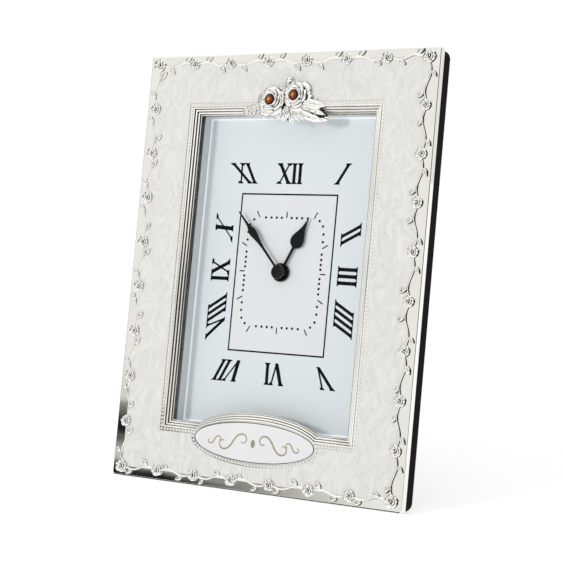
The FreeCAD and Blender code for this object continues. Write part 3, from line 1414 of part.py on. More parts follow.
def hand_cap():
    """Round nut that closes the shaft, threaded on its tip."""
    back = MINUTE_HAND_BACK - HAND_THICKNESS
    cap = rod_y(CAP_RADIUS, 0, MIDDLE_HEIGHT, back - CAP_HEIGHT, back)
    rim = [e for e in cap.Edges if max(v.Y for v in e.Vertexes) <= back - CAP_HEIGHT]
    cap = cap.makeFillet(CAP_HEIGHT / 2, rim)
    return cap.cut(rod_y(MINUTE_TIP_RADIUS, 0, MIDDLE_HEIGHT, back - CAP_HEIGHT / 2,
                         back + CUT_OVERRUN))


def button_builder(number):
    return lambda: turn_button(button_places()[number])


PIECES = {
    "front_frame": front_frame,
    "enamel_inlay": lambda: enamel_shape(RUN_GAP, 0),
    "oval_plaque": oval_plaque,
    "bead_trim": bead_trim,
    "vine_stems": vine_stems,
    "vine_leaves": vine_leaves,
    "garland_roses": garland_roses,
    "rose_crest": rose_crest,
    "crest_crystals": crest_crystals,
    "glass_pane": glass_pane,
    "recess_frame": recess_frame,
    "dial_plate": dial_plate,
    "backing_board": backing_board,
    "back_panel": back_panel,
    "turn_button_upper_left": button_builder(0),
    "turn_button_upper_right": button_builder(1),
    "turn_button_lower_left": button_builder(2),
    "turn_button_lower_right": button_builder(3),
    "turn_button_screws": turn_button_screws,
    "strut_leg": strut_leg,
    "hinge_leaf_fixed": hinge_leaf_fixed,
    "hinge_leaf_moving": hinge_leaf_moving,
    "hinge_pin": hinge_pin,
    "hinge_rivets_fixed": hinge_rivets_fixed,
    "hinge_rivets_moving": hinge_rivets_moving,
    "mounting_pad": mounting_pad,
    "movement_case_front": movement_case_front,
    "movement_case_back": movement_case_back,
    "train_bridge": train_bridge,
    "minute_shaft": minute_shaft,
    "clutch_spring": clutch_spring,
    "hour_wheel": hour_wheel,
    "motion_wheel": motion_wheel,
    "set_knob_shaft": set_knob_shaft,
    "set_knob": set_knob,
    "centre_wheel": centre_wheel,
    "third_wheel": third_wheel,
    "seconds_wheel": seconds_wheel,
    "fifth_wheel": fifth_wheel,
    "rotor_pinion": rotor_pinion,
    "rotor_magnet": rotor_magnet,
    "stator": stator,
    "coil_core": coil_core,
    "coil_bobbin": coil_bobbin,
    "coil_winding": coil_winding,
    "circuit_board": circuit_board,
    "quartz_crystal": quartz_crystal,
    "battery_cell": battery_cell,
    "battery_contact_positive": battery_contact_positive,
    "battery_contact_negative": battery_contact_negative,
    "hour_hand": hour_hand,
    "minute_hand": minute_hand,
    "hand_cap": hand_cap,
}

# Pieces that reach the surface the clock stands on, and are cut flat there
STANDING_PIECES = ("backing_board", "strut_leg")


def leaned(shape):
    """Leans a piece back and lifts it so that the surface below is Z = 0."""
    copy = shape.copy()
    copy.rotate(vec(0, 0, 0), ALONG_X, -LEAN_BACK)
    copy.translate(vec(0, 0, standing_lift()))
    return copy


def standing_lift():
    """Height of the frame's bottom front edge above the surface."""
    return BOARD_BACK * math.sin(math.radians(LEAN_BACK)) - STANDING_FLAT_CUT


def cut_standing_flat(shape):
    bounds = shape.BoundBox
    below = box((bounds.XMin - CUT_OVERRUN, bounds.YMin - CUT_OVERRUN,
                 min(bounds.ZMin, 0) - CUT_OVERRUN),
                (bounds.XMax + CUT_OVERRUN, bounds.YMax + CUT_OVERRUN, 0))
    return shape.cut(below)


def build():
    """Every piece in its place, centred front to back over the origin."""
    shapes = {}
    for name, make in PIECES.items():
        shape = leaned(make())
        if name in STANDING_PIECES:
            shape = cut_standing_flat(shape)
        shapes[name] = shape
    whole = Part.makeCompound(list(shapes.values()))
    bounds = whole.optimalBoundingBox(False, False)
    middle = (bounds.YMin + bounds.YMax) / 2
    for shape in shapes.values():
        shape.translate(vec(0, -middle, 0))
    return shapes, middle


def placed(x, y, z, middle):
    """A point of the upright drawing in the standing clock's frame."""
    lean = math.radians(LEAN_BACK)
    return (x, y * math.cos(lean) + z * math.sin(lean) - middle,
            standing_lift() - y * math.sin(lean) + z * math.cos(lean))


shapes, shift = build()
for node, solid in shapes.items():
    solid.exportStep("parts/" + node + ".step")
print("pieces", len(shapes), "shift", round(shift, 4))
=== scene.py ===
# %% [markdown]
# # A photo frame clock, dressed for its picture
# The CAD model already has every piece in its place. This lesson gives the clock its
# looks: polished silver plate, pearl enamel, a rose garland, a printed dial and black
# velvet. It starts by loading the imported model.

# %% Load the imported model
import math

import bmesh
import bpy
from mathutils import Matrix, Vector


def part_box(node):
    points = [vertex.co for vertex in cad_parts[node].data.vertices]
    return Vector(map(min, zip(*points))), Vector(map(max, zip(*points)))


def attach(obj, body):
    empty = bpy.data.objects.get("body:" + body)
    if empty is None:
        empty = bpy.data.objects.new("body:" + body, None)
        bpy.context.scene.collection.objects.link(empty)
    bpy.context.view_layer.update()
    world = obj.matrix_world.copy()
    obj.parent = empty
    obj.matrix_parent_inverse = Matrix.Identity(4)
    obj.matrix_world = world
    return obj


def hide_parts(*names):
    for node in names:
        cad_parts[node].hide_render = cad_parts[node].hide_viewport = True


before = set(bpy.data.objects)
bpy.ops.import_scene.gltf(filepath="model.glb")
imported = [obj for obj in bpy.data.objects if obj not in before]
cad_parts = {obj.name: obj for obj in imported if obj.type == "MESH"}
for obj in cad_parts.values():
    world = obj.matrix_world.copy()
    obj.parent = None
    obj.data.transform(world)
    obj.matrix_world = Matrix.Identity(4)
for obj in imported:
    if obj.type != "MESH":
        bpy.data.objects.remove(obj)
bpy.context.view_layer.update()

# %% [markdown]
# ## Drawing upright, then leaning back
# The clock leans back on its leg. It is easier to draw each piece upright in
# millimetres, with X to the right, Y from the silver face towards the back and Z up from
# the frame's bottom edge, and to lean the finished mesh. The glass pane has sharp
# corners, so its box tells how far the CAD moved everything after leaning it.

# %% Find the lean
LEAN = math.radians(10)
FRAME_W, FRAME_H = 152.0, 198.0
MIDDLE = FRAME_H / 2
SIGHT_HALF_W, SIGHT_HALF_H = 46.0, 70.8
GLASS_FRONT, GLASS_BACK, GLASS_LAP = 3.4, 5.4, 3.0
DIAL_Y = 11.0

pane_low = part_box("glass_pane")[0] * 1000
pane_bottom = MIDDLE - SIGHT_HALF_H - GLASS_LAP
shift_back = pane_low.y - GLASS_FRONT * math.cos(LEAN) - pane_bottom * math.sin(LEAN)
lift = pane_low.z + GLASS_BACK * math.sin(LEAN) - pane_bottom * math.cos(LEAN)
STAND = (Matrix.Translation((0, shift_back / 1000, lift / 1000))
         @ Matrix.Rotation(-LEAN, 4, "X") @ Matrix.Scale(0.001, 4))
print("moved by", round(shift_back, 3), round(lift, 3), "mm")

# %% [markdown]
# ## Small helpers
# Every piece ends the same way: its mesh is leaned into place, it rides on a body of the
# CAD model, and it may stand for a CAD node. The helpers below do only that, and build
# meshes from lists of points.

# %% Pieces from points
def place_object(name, data):
    """New object in the scene, for a mesh, a lamp or a camera."""
    obj = bpy.data.objects.new(name, data)
    bpy.context.scene.collection.objects.link(obj)
    return obj


def upright(name, points, faces, material=None, soft=True, edges=()):
    """New mesh in upright millimetres. Its faces are shaded soft or flat."""
    mesh = bpy.data.meshes.new(name)
    mesh.from_pydata([tuple(p) for p in points], edges, faces)
    mesh.update()
    if material:
        mesh.materials.append(material)
    for face in mesh.polygons:
        face.use_smooth = soft
    return place_object(name, mesh)


def face_outwards(obj):
    """Merges doubles and turns every face outwards."""
    work = bmesh.new()
    work.from_mesh(obj.data)
    bmesh.ops.remove_doubles(work, verts=work.verts, dist=1e-4)
    bmesh.ops.recalc_face_normals(work, faces=work.faces)
    work.to_mesh(obj.data)
    work.free()
    return obj


def settle(obj):
    """Turns what the modifiers make into a plain mesh, and removes them."""
    graph = bpy.context.evaluated_depsgraph_get()
    mesh = bpy.data.meshes.new_from_object(obj.evaluated_get(graph))
    obj.modifiers.clear()
    obj.data = mesh
    return obj

# %% Finished pieces
def finish(obj, body, stands_for=()):
    """Leans a piece into place and ties it to its body."""
    obj.data.transform(STAND)
    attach(obj, body)
    if stands_for:
        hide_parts(*stands_for)
    print(obj.name, len(obj.data.polygons), "faces")
    return obj


def join(name, parts):
    """One object from several that share a place."""
    work = bmesh.new()
    materials = []
    for part in parts:
        start = len(work.faces)
        work.from_mesh(part.data)
        work.faces.ensure_lookup_table()
        for material in part.data.materials:
            if material not in materials:
                materials.append(material)
        for face in work.faces[start:]:
            face.material_index = materials.index(part.data.materials[face.material_index])
    mesh = bpy.data.meshes.new(name)
    work.to_mesh(mesh)
    work.free()
    for material in materials:
        mesh.materials.append(material)
    for part in parts:
        bpy.data.objects.remove(part)
    return place_object(name, mesh)


def smooth(obj):
    """Shades every face of a piece as part of one round surface."""
    obj.data.shade_smooth()
    return obj

# %% [markdown]
# ## Skins over rings
# Most of the pieces are a skin over a row of rings. A ring is a list of points, and every
# ring of a piece has as many. The skin may end in a tip, or close on itself like a hoop.

# %% Rings and skins
def circle(radius, y, count, z=0.0, phase=0.0):
    """Points of a circle that faces the front."""
    turns = [2 * math.pi * (i + phase) / count for i in range(count)]
    return [(radius * math.cos(turn), y, z + radius * math.sin(turn)) for turn in turns]


def rectangle(right, low, left, high, y):
    """Corners of an upright rectangle, from its lower right corner upwards."""
    return [(right, y, low), (right, y, high), (left, y, high), (left, y, low)]


def loft(rings, closed_rings=True, closed_loft=False):
    """Points and faces of a skin over rings that have the same number of points."""
    points = [p for ring in rings for p in ring]
    count = len(rings[0])
    faces = []
    rows = len(rings) if closed_loft else len(rings) - 1
    steps = count if closed_rings else count - 1
    for row in range(rows):
        here, there = row * count, ((row + 1) % len(rings)) * count
        for step in range(steps):
            after = (step + 1) % count
            faces.append((here + step, here + after, there + after, there + step))
    return points, faces


def drawn_to_tip(rings, tip):
    """Points and faces of a skin that is flat at the first ring and ends in a tip."""
    points, faces = loft(rings)
    sides = len(rings[0])
    last = len(points) - sides
    points.append(tip)
    faces += [(last + i, last + (i + 1) % sides, len(points) - 1) for i in range(sides)]
    faces.append(tuple(range(sides)))
    return points, faces


def closed_skin(name, rings, material, soft=True):
    """Piece over rings of which the last joins the first again."""
    return face_outwards(upright(name, *loft(rings, closed_loft=True), material, soft=soft))


def turned(name, profile, material, sides=40, z=MIDDLE):
    """Ring turned about an axis that points to the front, from (radius, y) pairs."""
    return closed_skin(name, [circle(radius, y, sides, z) for radius, y in profile], material)

# %% [markdown]
# ## Small helpers for nodes
# Every material and every Geometry Nodes tree below is built in the script. A node's input
# takes either a plain value or a wire from another node, so one helper does both, and a
# second makes a node with all its inputs in one line. The others wrap the few nodes that
# come back again and again: a sum, a range, a mix of two colours and a colour ramp.

# %% Helpers for nodes
def feed(tree, socket, source):
    """Wires a socket to another node's output, or gives it a value."""
    if isinstance(source, bpy.types.NodeSocket):
        tree.links.new(source, socket)
    else:
        socket.default_value = source


def give(tree, node, **sources):
    """Feeds inputs of a node by name, with _ for a space."""
    for label, source in sources.items():
        feed(tree, node.inputs[label.replace("_", " ")], source)


def add(tree, kind, *in_order, options=(), **sources):
    """New node with its options set and its inputs fed, in order or by name."""
    node = tree.nodes.new(kind)
    for label, value in dict(options).items():
        setattr(node, label, value)
    for socket, source in zip(node.inputs, in_order):
        feed(tree, socket, source)
    give(tree, node, **sources)
    return node

# %% Nodes that come back
def calculate(tree, operation, *values):
    """Result of one sum on values."""
    node = add(tree, "ShaderNodeMath", *values, options={"operation": operation})
    return node.outputs["Value"]


def largest(tree, first, *others):
    """Largest of several values."""
    for other in others:
        first = calculate(tree, "MAXIMUM", first, other)
    return first


def ranged(tree, source, low, high, start=0.35, end=0.65):
    """Value that goes from low to high while the source goes from start to end."""
    return add(tree, "ShaderNodeMapRange", Value=source, From_Min=start, From_Max=end,
               To_Min=low, To_Max=high).outputs["Result"]


def mixed(tree, share, first, second):
    """Colour between two."""
    return add(tree, "ShaderNodeMix", options={"data_type": "RGBA"}, Factor=share, A=first,
               B=second).outputs["Result"]


def ramp_of(tree, source, stops, interpolation="LINEAR"):
    """Colour from a ramp, with its stops as (position, colour) from low to high."""
    node = add(tree, "ShaderNodeValToRGB", source)
    node.color_ramp.interpolation = interpolation
    ends = node.color_ramp.elements[0], node.color_ramp.elements[-1]
    for element, (position, colour) in zip(ends, (stops[0], stops[-1])):
        element.position, element.color = position, colour
    for position, colour in stops[1:-1]:
        node.color_ramp.elements.new(position).color = colour
    return node.outputs["Color"]


def place_x(tree):
    """How far right the point that is being shaded lies on its piece."""
    place = tree.nodes.new("ShaderNodeTexCoord").outputs["Object"]
    return add(tree, "ShaderNodeSeparateXYZ", place).outputs["X"]

# %% [markdown]
# ## Shader groups
# Metal, plastic and velvet all need a fine grain, and metal needs a little tarnish. Each
# effect is one node group with named inputs, made once and placed in every material with
# its own values. A group only puts out masks and heights, because the shader itself stays
# in the material.

# %% Grain group
def new_group(kind, name, inputs, outputs):
    """Empty node group, and the nodes where values enter and leave it."""
    group = bpy.data.node_groups.new(name, kind)
    for way, sockets in (("INPUT", inputs), ("OUTPUT", outputs)):
        for label, socket_kind in sockets:
            group.interface.new_socket(label, in_out=way, socket_type="NodeSocket" + socket_kind)
    return group, group.nodes.new("NodeGroupInput"), group.nodes.new("NodeGroupOutput")


def make_grain():
    """Two sizes of noise: one fine for bumps, one broad for patches."""
    group, enter, leave = new_group(
        "ShaderNodeTree", "grain", (("Fine Scale", "Float"), ("Broad Scale", "Float")),
        (("Height", "Float"), ("Patches", "Float")))
    place = group.nodes.new("ShaderNodeTexCoord").outputs["Object"]
    for label, mask, detail in (("Fine Scale", "Height", 3.0), ("Broad Scale", "Patches", 4.0)):
        noise = add(group, "ShaderNodeTexNoise", Vector=place, Scale=enter.outputs[label],
                    Detail=detail)
        feed(group, leave.inputs[mask], noise.outputs["Fac"])
    return group

# %% Swirl group
def make_swirl():
    """Curling wisps: noise read at places that other noise has pushed about."""
    group, enter, leave = new_group(
        "ShaderNodeTree", "swirl",
        (("Scale", "Float"), ("Broad Scale", "Float"), ("Push", "Float")), (("Wisps", "Float"),))
    place = group.nodes.new("ShaderNodeTexCoord").outputs["Object"]
    drift = add(group, "ShaderNodeTexNoise", Vector=place, Scale=enter.outputs["Broad Scale"],
                Detail=1.0)
    centred = add(group, "ShaderNodeVectorMath", drift.outputs["Color"], (0.5, 0.5, 0.5),
                  options={"operation": "SUBTRACT"})
    push = add(group, "ShaderNodeVectorMath", centred.outputs["Vector"],
               options={"operation": "SCALE"}, Scale=enter.outputs["Push"])
    pushed = add(group, "ShaderNodeVectorMath", place, push.outputs["Vector"],
                 options={"operation": "ADD"})
    stretched = add(group, "ShaderNodeMapping", Vector=pushed.outputs["Vector"],
                    Rotation=(0.0, 0.6, 0.0), Scale=(1.0, 1.0, 0.3))
    wisps = add(group, "ShaderNodeTexNoise", Vector=stretched.outputs["Vector"],
                Scale=enter.outputs["Scale"], Detail=4.0, Roughness=0.55, Distortion=0.6)
    feed(group, leave.inputs["Wisps"], wisps.outputs["Fac"])
    return group


GRAIN, SWIRL = make_grain(), make_swirl()
print("shader groups", GRAIN.name, SWIRL.name)

# %% [markdown]
# ## Finishes
# One short function makes every opaque finish. It mixes two close colours by the broad
# patches, lets the same patches change the roughness a little, and turns the fine grain
# into a bump. What differs from silver to velvet is only the numbers.

# %% One function for the opaque finishes
def srgb(red, green, blue):
    """Colour as written in a paint program, made linear."""
    def one(value):
        value = value / 255
        return value / 12.92 if value <= 0.04045 else ((value + 0.055) / 1.055) ** 2.4
    return (one(red), one(green), one(blue), 1.0)


def new_material(name):
    """Material, its node tree and its shader."""
    material = bpy.data.materials.new(name)
    material.use_nodes = True
    return material, material.node_tree, material.node_tree.nodes["Principled BSDF"]


def finish_of(name, colour, second, rough, metal=0.0, fine=900.0, broad=40.0, bump=0.1,
              depth=0.00002, **sockets):
    """Opaque finish: two close colours in patches, an uneven roughness and a fine bump."""
    material, tree, shader = new_material(name)
    grain = add(tree, "ShaderNodeGroup", options={"node_tree": GRAIN}, Fine_Scale=fine,
                Broad_Scale=broad)
    patches = grain.outputs["Patches"]
    relief = add(tree, "ShaderNodeBump", Strength=bump, Distance=depth,
                 Height=grain.outputs["Height"])
    give(tree, shader, Roughness=ranged(tree, patches, *rough), Metallic=metal,
         Base_Color=mixed(tree, ranged(tree, patches, 0, 1), srgb(*colour), srgb(*second)),
         Normal=relief.outputs["Normal"], **sockets)
    return material

# %% Metals
silver = finish_of("silver_plate", (250, 250, 247), (245, 245, 241), (0.015, 0.035), 1.0,
                   fine=700, broad=30, bump=0.04)
bright_silver = finish_of("bright_silver", (251, 250, 248), (244, 243, 239), (0.07, 0.12), 1.0,
                          fine=900, broad=90, bump=0.08)
# dark silver for the seam round the name plate, and for painted shade, shadows and reflections
seam_and_shade = finish_of("oxidised_silver", (62, 59, 54), (34, 32, 29), (0.35, 0.5), 1.0)
# the painted shade in the hollows: its colour, its share at the left edge, where the light
# leaves it paler, and the metres from the middle between which it grows to its whole
HOLLOW_SHADE, LIT_LEFT_SHARE, LIT_LEFT_EDGE = (58, 55, 50), 0.45, (-0.068, -0.035)


def darken_hollows(material):
    """Paints shade into the silver where a piece carries a shade value, less at the brighter left
    edge.
    """
    tree = material.node_tree
    base = tree.nodes["Principled BSDF"].inputs["Base Color"]
    shade = add(tree, "ShaderNodeAttribute", options={"attribute_name": "shade"})
    lit_left_edge = ranged(tree, place_x(tree), LIT_LEFT_SHARE, 1.0, *LIT_LEFT_EDGE)
    depth = calculate(tree, "MULTIPLY", shade.outputs["Fac"], lit_left_edge)
    feed(tree, base, mixed(tree, depth, base.links[0].from_socket, srgb(*HOLLOW_SHADE)))


darken_hollows(bright_silver)
# grey silver for the painted shade in the creases of the moulding
crease_shade = finish_of("tarnished_silver", (174, 169, 160), (138, 133, 124), (0.2, 0.35), 1.0)
# darker grey silver: painted shade on the left side of the moulding, and a painted highlight on
# the black cap's edge
dark_tarnish = finish_of("dark_tarnish", (112, 108, 100), (78, 75, 69), (0.2, 0.35), 1.0)
nickel = finish_of("nickel_plate", (208, 204, 196), (190, 186, 178), (0.18, 0.3), 1.0)
steel = finish_of("bright_steel", (198, 200, 204), (176, 178, 182), (0.15, 0.28), 1.0)
brass = finish_of("brass", (212, 178, 98), (190, 152, 76), (0.2, 0.35), 1.0)
copper = finish_of("copper_wire", (196, 110, 62), (168, 86, 46), (0.25, 0.4), 1.0, fine=2600,
                   bump=0.5)
magnet = finish_of("magnet", (70, 70, 74), (50, 50, 54), (0.35, 0.5), 0.6)
quartz_can = finish_of("quartz_can", (205, 206, 208), (180, 182, 185), (0.15, 0.25), 1.0)
print("metals from", silver.name, "to", quartz_can.name)

# %% Paint, plastic, card and cloth
plaque_white = finish_of("white_plaque", (251, 251, 252), (247, 247, 249), (0.18, 0.25),
                         bump=0.03, Coat_Weight=0.5, Coat_Roughness=0.05)
recess_grey = finish_of("recess_grey", (224, 230, 233), (215, 222, 225), (0.32, 0.45),
                        broad=14, bump=0.05)
dial_card = finish_of("dial_card", (241, 247, 249), (236, 243, 246), (0.45, 0.6), broad=9,
                      bump=0.05)
dial_panel = finish_of("dial_panel", (244, 245, 247), (240, 241, 244), (0.45, 0.6), broad=9,
                       bump=0.05)
print_black = finish_of("print_black", (10, 10, 12), (16, 16, 18), (0.4, 0.55), bump=0.05,
                        Specular_IOR_Level=0.1)
flourish_gold = finish_of("flourish_gold", (178, 166, 140), (160, 148, 120), (0.3, 0.45))
lacquer = finish_of("black_lacquer", (8, 8, 9), (12, 12, 13), (0.26, 0.34), bump=0.04,
                    Specular_IOR_Level=0.2)
velvet = finish_of("black_velvet", (8, 8, 9), (13, 13, 14), (0.9, 1.0), fine=1800, broad=25,
                   bump=0.5, depth=0.0001, Sheen_Weight=0.06, Sheen_Roughness=0.4,
                   Specular_IOR_Level=0.12)
back_velvet = finish_of("back_velvet", (15, 15, 17), (23, 23, 25), (0.9, 1.0), fine=1800,
                        broad=25, bump=0.5, depth=0.0001, Sheen_Weight=0.06,
                        Sheen_Roughness=0.4, Specular_IOR_Level=0.25)
foam = finish_of("foam_pad", (226, 224, 214), (206, 204, 194), (0.85, 0.95), fine=1500, bump=0.7,
                 depth=0.0001)
black_plastic = finish_of("black_plastic", (26, 26, 28), (34, 34, 36), (0.38, 0.5), fine=1600,
                          bump=0.25, depth=0.00004)
white_plastic = finish_of("white_plastic", (232, 232, 228), (222, 222, 216), (0.35, 0.45),
                          fine=1200)
circuit = finish_of("circuit_green", (38, 92, 58), (28, 74, 46), (0.35, 0.5))
sleeve = finish_of("battery_sleeve", (44, 60, 104), (36, 50, 90), (0.22, 0.3), bump=0.03,
                   Coat_Weight=0.3)
# the fillet glows a little: painted light where the lamp leaves it in shade
fillet_white = finish_of("fillet_white", (250, 250, 250), (244, 245, 246), (0.3, 0.4), bump=0.03,
                         Emission_Color=(0.9, 0.95, 1.0, 1.0), Emission_Strength=0.3)


def band_the_sleeve(material, ends, stripe):
    """Bare metal at both ends of the cell and a pale stripe round the sleeve."""
    tree = material.node_tree
    shader = tree.nodes["Principled BSDF"]
    stops = ((0.0, 1.0), (0.05, 0.0), (stripe[0], 0.5), (stripe[1], 0.0), (0.95, 1.0))
    bare = ramp_of(tree, ranged(tree, place_x(tree), 0, 1, *ends),
                   [(position, (value, value, value, 1)) for position, value in stops],
                   "CONSTANT")
    painted = shader.inputs["Base Color"].links[0].from_socket
    give(tree, shader, Base_Color=mixed(tree, bare, painted, srgb(206, 207, 210)),
         Metallic=ranged(tree, bare, 0, 1, 0.5, 1.0))


cell_low, cell_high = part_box("battery_cell")
band_the_sleeve(sleeve, (cell_low.x, cell_high.x), (0.7, 0.76))
print("battery sleeve from", round(cell_low.x * 1000, 1), "to", round(cell_high.x * 1000, 1))

# %% [markdown]
# ## Pearl enamel
# Real pearl enamel has flakes that settled in curls while it was wet, under a clear glossy
# coat. The swirl group gives the curls. They change the colour only a little, since the
# photograph shows them barely darker than the ground.

# %% Pearl enamel
def make_pearl():
    """Pale curls under a clear coat."""
    material, tree, shader = new_material("pearl_enamel")
    wisps = add(tree, "ShaderNodeGroup", options={"node_tree": SWIRL}, Scale=400.0,
                Broad_Scale=60.0, Push=0.022).outputs["Wisps"]
    colour = ramp_of(tree, wisps, ((0.34, srgb(233, 234, 229)), (0.5, srgb(239, 239, 235)),
                                   (0.66, srgb(247, 247, 244))))
    relief = add(tree, "ShaderNodeBump", Strength=0.12, Distance=0.0002, Height=wisps)
    give(tree, shader, Base_Color=colour, Roughness=ranged(tree, wisps, 0.24, 0.4),
         Normal=relief.outputs["Normal"], Coat_Weight=0.35, Coat_Roughness=0.06)
    return material


pearl = make_pearl()
print("enamel made of", len(pearl.node_tree.nodes), "nodes")

# %% [markdown]
# ## Glass
# Light has to reach the dial through the pane. A path tracer finds that light slowly
# through real glass, so shadow and diffuse rays pass the pane as if it were not there. A
# look straight through passes too: the photographed pane hardly mirrors, and so faint a
# reflection would only speckle the black hands. Seen aslant, the pane becomes glass.

# %% Clear glass
# how far from head on the pane stops being clear, and is wholly glass
CLEAR_UNTIL, GLASS_FROM = 0.35, 0.6


def make_clear_glass():
    """Glass that shows only where it is seen aslant."""
    material, tree, shader = new_material("clear_glass")
    give(tree, shader, Base_Color=(1, 1, 1, 1), Roughness=0.0, IOR=1.14,
         Transmission_Weight=1.0)
    path = tree.nodes.new("ShaderNodeLightPath").outputs
    view = add(tree, "ShaderNodeLayerWeight", Blend=0.5)
    free = largest(tree, path["Is Shadow Ray"], path["Is Diffuse Ray"],
                   ranged(tree, view.outputs["Facing"], 1.0, 0.0, CLEAR_UNTIL, GLASS_FROM))
    through = tree.nodes.new("ShaderNodeBsdfTransparent").outputs["BSDF"]
    both = add(tree, "ShaderNodeMixShader", free, shader.outputs["BSDF"], through)
    give(tree, tree.nodes["Material Output"], Surface=both.outputs["Shader"])
    return material


clear_glass = make_clear_glass()
print("glass made of", len(clear_glass.node_tree.nodes), "nodes")

# %% [markdown]
# ## Dressing the CAD nodes
# Most pieces behind the dial, and the plain ones in front, already have the right shape.
# They keep their meshes and only get a finish.

# %% Finishes for the CAD nodes
DRESS = {
    silver: ("front_frame",),
    pearl: ("enamel_inlay",),
    plaque_white: ("oval_plaque",),
    bright_silver: ("bead_trim", "vine_stems", "vine_leaves", "garland_roses", "rose_crest"),
    clear_glass: ("glass_pane",),
    recess_grey: ("recess_frame",),
    dial_card: ("dial_plate",),
    velvet: ("backing_board",),
    back_velvet: ("back_panel", "strut_leg"),
    nickel: ("turn_button_upper_left", "turn_button_upper_right", "turn_button_lower_left",
             "turn_button_lower_right", "turn_button_screws", "hinge_leaf_fixed",
             "hinge_leaf_moving", "hinge_rivets_fixed", "hinge_rivets_moving",
             "battery_contact_positive", "battery_contact_negative"),
    steel: ("hinge_pin", "clutch_spring", "set_knob_shaft", "stator", "coil_core"),
    brass: ("minute_shaft",),
    white_plastic: ("hour_wheel", "motion_wheel", "centre_wheel", "third_wheel",
                    "seconds_wheel", "fifth_wheel", "rotor_pinion", "coil_bobbin",
                    "train_bridge"),
    foam: ("mounting_pad",),
    black_plastic: ("movement_case_front", "movement_case_back", "set_knob"),
    magnet: ("rotor_magnet",),
    copper: ("coil_winding",),
    circuit: ("circuit_board",),
    quartz_can: ("quartz_crystal",),
    sleeve: ("battery_cell",),
    lacquer: ("hour_hand", "minute_hand", "hand_cap"),
}
for material, nodes_dressed in DRESS.items():
    for node in nodes_dressed:
        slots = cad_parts[node].data.materials
        if not slots:
            slots.append(material)
        for number in range(len(slots)):
            slots[number] = material
print("dressed", sum(len(names) for names in DRESS.values()), "nodes")

# %% [markdown]
# ## Moulding round the window
# The casting steps down to the glass. On the real frame each step is a soft half round
# that catches a white line of light, with a dark seam between. A path runs round the
# window and over the arch of the name plate. Moving it outwards by a distance gives a
# ring, and a row of rings across a half circle gives one round.

# %% Rounds on the moulding steps
OVAL_Z = 21.8
OVAL_HALF_W, OVAL_HALF_H = 31.2, 8.6
ARCH_RISE = 4.4
ARCH_STEPS = 56
BEAD_CHANNEL_Y = 0.3
STEPS = ((0.0, 0.6, 2.5), (0.6, 1.7, 1.7), (1.7, 2.8, 0.9), (2.8, 3.7, 0.2))
ROUND_STEPS = 8
ROUND_HEIGHT_SHARE = 0.45
ROUND_INSET = 0.08


def window_ring(out, y):
    """Window outline moved outwards, with the arch over the name plate."""
    right, low = SIGHT_HALF_W + out, MIDDLE - SIGHT_HALF_H - out
    high = MIDDLE + SIGHT_HALF_H + out
    wide, tall = OVAL_HALF_W + ARCH_RISE - out, OVAL_HALF_H + ARCH_RISE - out
    start = math.asin((low - OVAL_Z) / tall)
    ring = rectangle(right, low, -right, high, y)
    for step in range(ARCH_STEPS + 1):
        turn = math.pi - start - (math.pi - 2 * start) * step / ARCH_STEPS
        ring.append((wide * math.cos(turn), y, OVAL_Z + tall * math.sin(turn)))
    return ring


rounds = []
for inner, outer, depth in STEPS:
    inner, outer = inner + ROUND_INSET, outer - ROUND_INSET / 2
    half = (outer - inner) / 2
    rings = []
    for step in range(ROUND_STEPS + 1):
        turn = math.pi * step / ROUND_STEPS
        out = (inner + outer) / 2 - half * math.cos(turn)
        rings.append(window_ring(out, depth - 2 * half * ROUND_HEIGHT_SHARE * math.sin(turn)))
    rings.append(window_ring(outer - 0.02, depth + 0.1))
    rings.append(window_ring(inner + 0.02, depth + 0.1))
    rounds.append(closed_skin("round", rings, bright_silver))
finish(smooth(join("window_moulding", rounds)), "frame")

# %% [markdown]
# ## Painted shade in the grooves
# A thin dark strip lies on each wall between two rounds, as painted shade in the crease,
# and one more on the edge that holds the glass, as painted shade in that corner. The walls
# that face the camera show as dark lines, the others hide, which is just how the photograph
# shows the two sides. The left side gets a darker grey, more painted shade, since it turns
# away from the lamp.

# %% Painted shade in the grooves
STRIP, GROOVE = 0.03, 0.1
edges = [(0.0, GLASS_FRONT, STEPS[0][2])]
edges += [(near[1], near[2], far[2]) for near, far in zip(STEPS, STEPS[1:])]
edges.append((STEPS[-1][1], STEPS[-1][2], BEAD_CHANNEL_Y))
grooves = []
for out, deep, shallow in edges:
    # the strip at the edge that holds the glass is painted shade in that corner
    if out == 0.0:
        profile = ((-STRIP, deep - STRIP), (-STRIP, shallow - STRIP), (0.2, shallow - STRIP),
                   (0.2, shallow + 0.1), (0.02, deep - STRIP))
    else:
        profile = ((out - GROOVE, deep - STRIP), (out - STRIP, deep - STRIP),
                   (out - STRIP, shallow - STRIP), (out + GROOVE, shallow - STRIP),
                   (out + GROOVE, shallow + 0.05), (out - GROOVE, deep + 0.05))
    rings = [window_ring(far, y) for far, y in profile]
    groove = closed_skin("groove", rings, crease_shade, soft=False)
    groove.data.materials.append(dark_tarnish)
    # the left side takes the darker grey, as more painted shade
    for face in groove.data.polygons:
        face.material_index = 1 if face.center.x < -SIGHT_HALF_W + 0.5 else 0
    grooves.append(groove)
finish(join("moulding_grooves", grooves), "frame")

# %% [markdown]
# ## Lower edge
# The lower edge of the face turns under. A thin dark strip along it is a painted reflection of
# the shade under the frame.

# %% Painted reflection on the lower edge
half = FRAME_W / 2 - 1.0
edge_profile = ((0.02, 0.1), (0.02, -0.05), (0.4, -0.05), (0.45, 0.1))
edge_shade = [[(x, y, z) for z, y in edge_profile] for x in (-half, half)]
points, faces = loft(edge_shade)
faces += [(0, 1, 2, 3), (4, 5, 6, 7)]
edge_shade = face_outwards(upright("lower_edge_line", points, faces, seam_and_shade, soft=False))
finish(edge_shade, "frame")

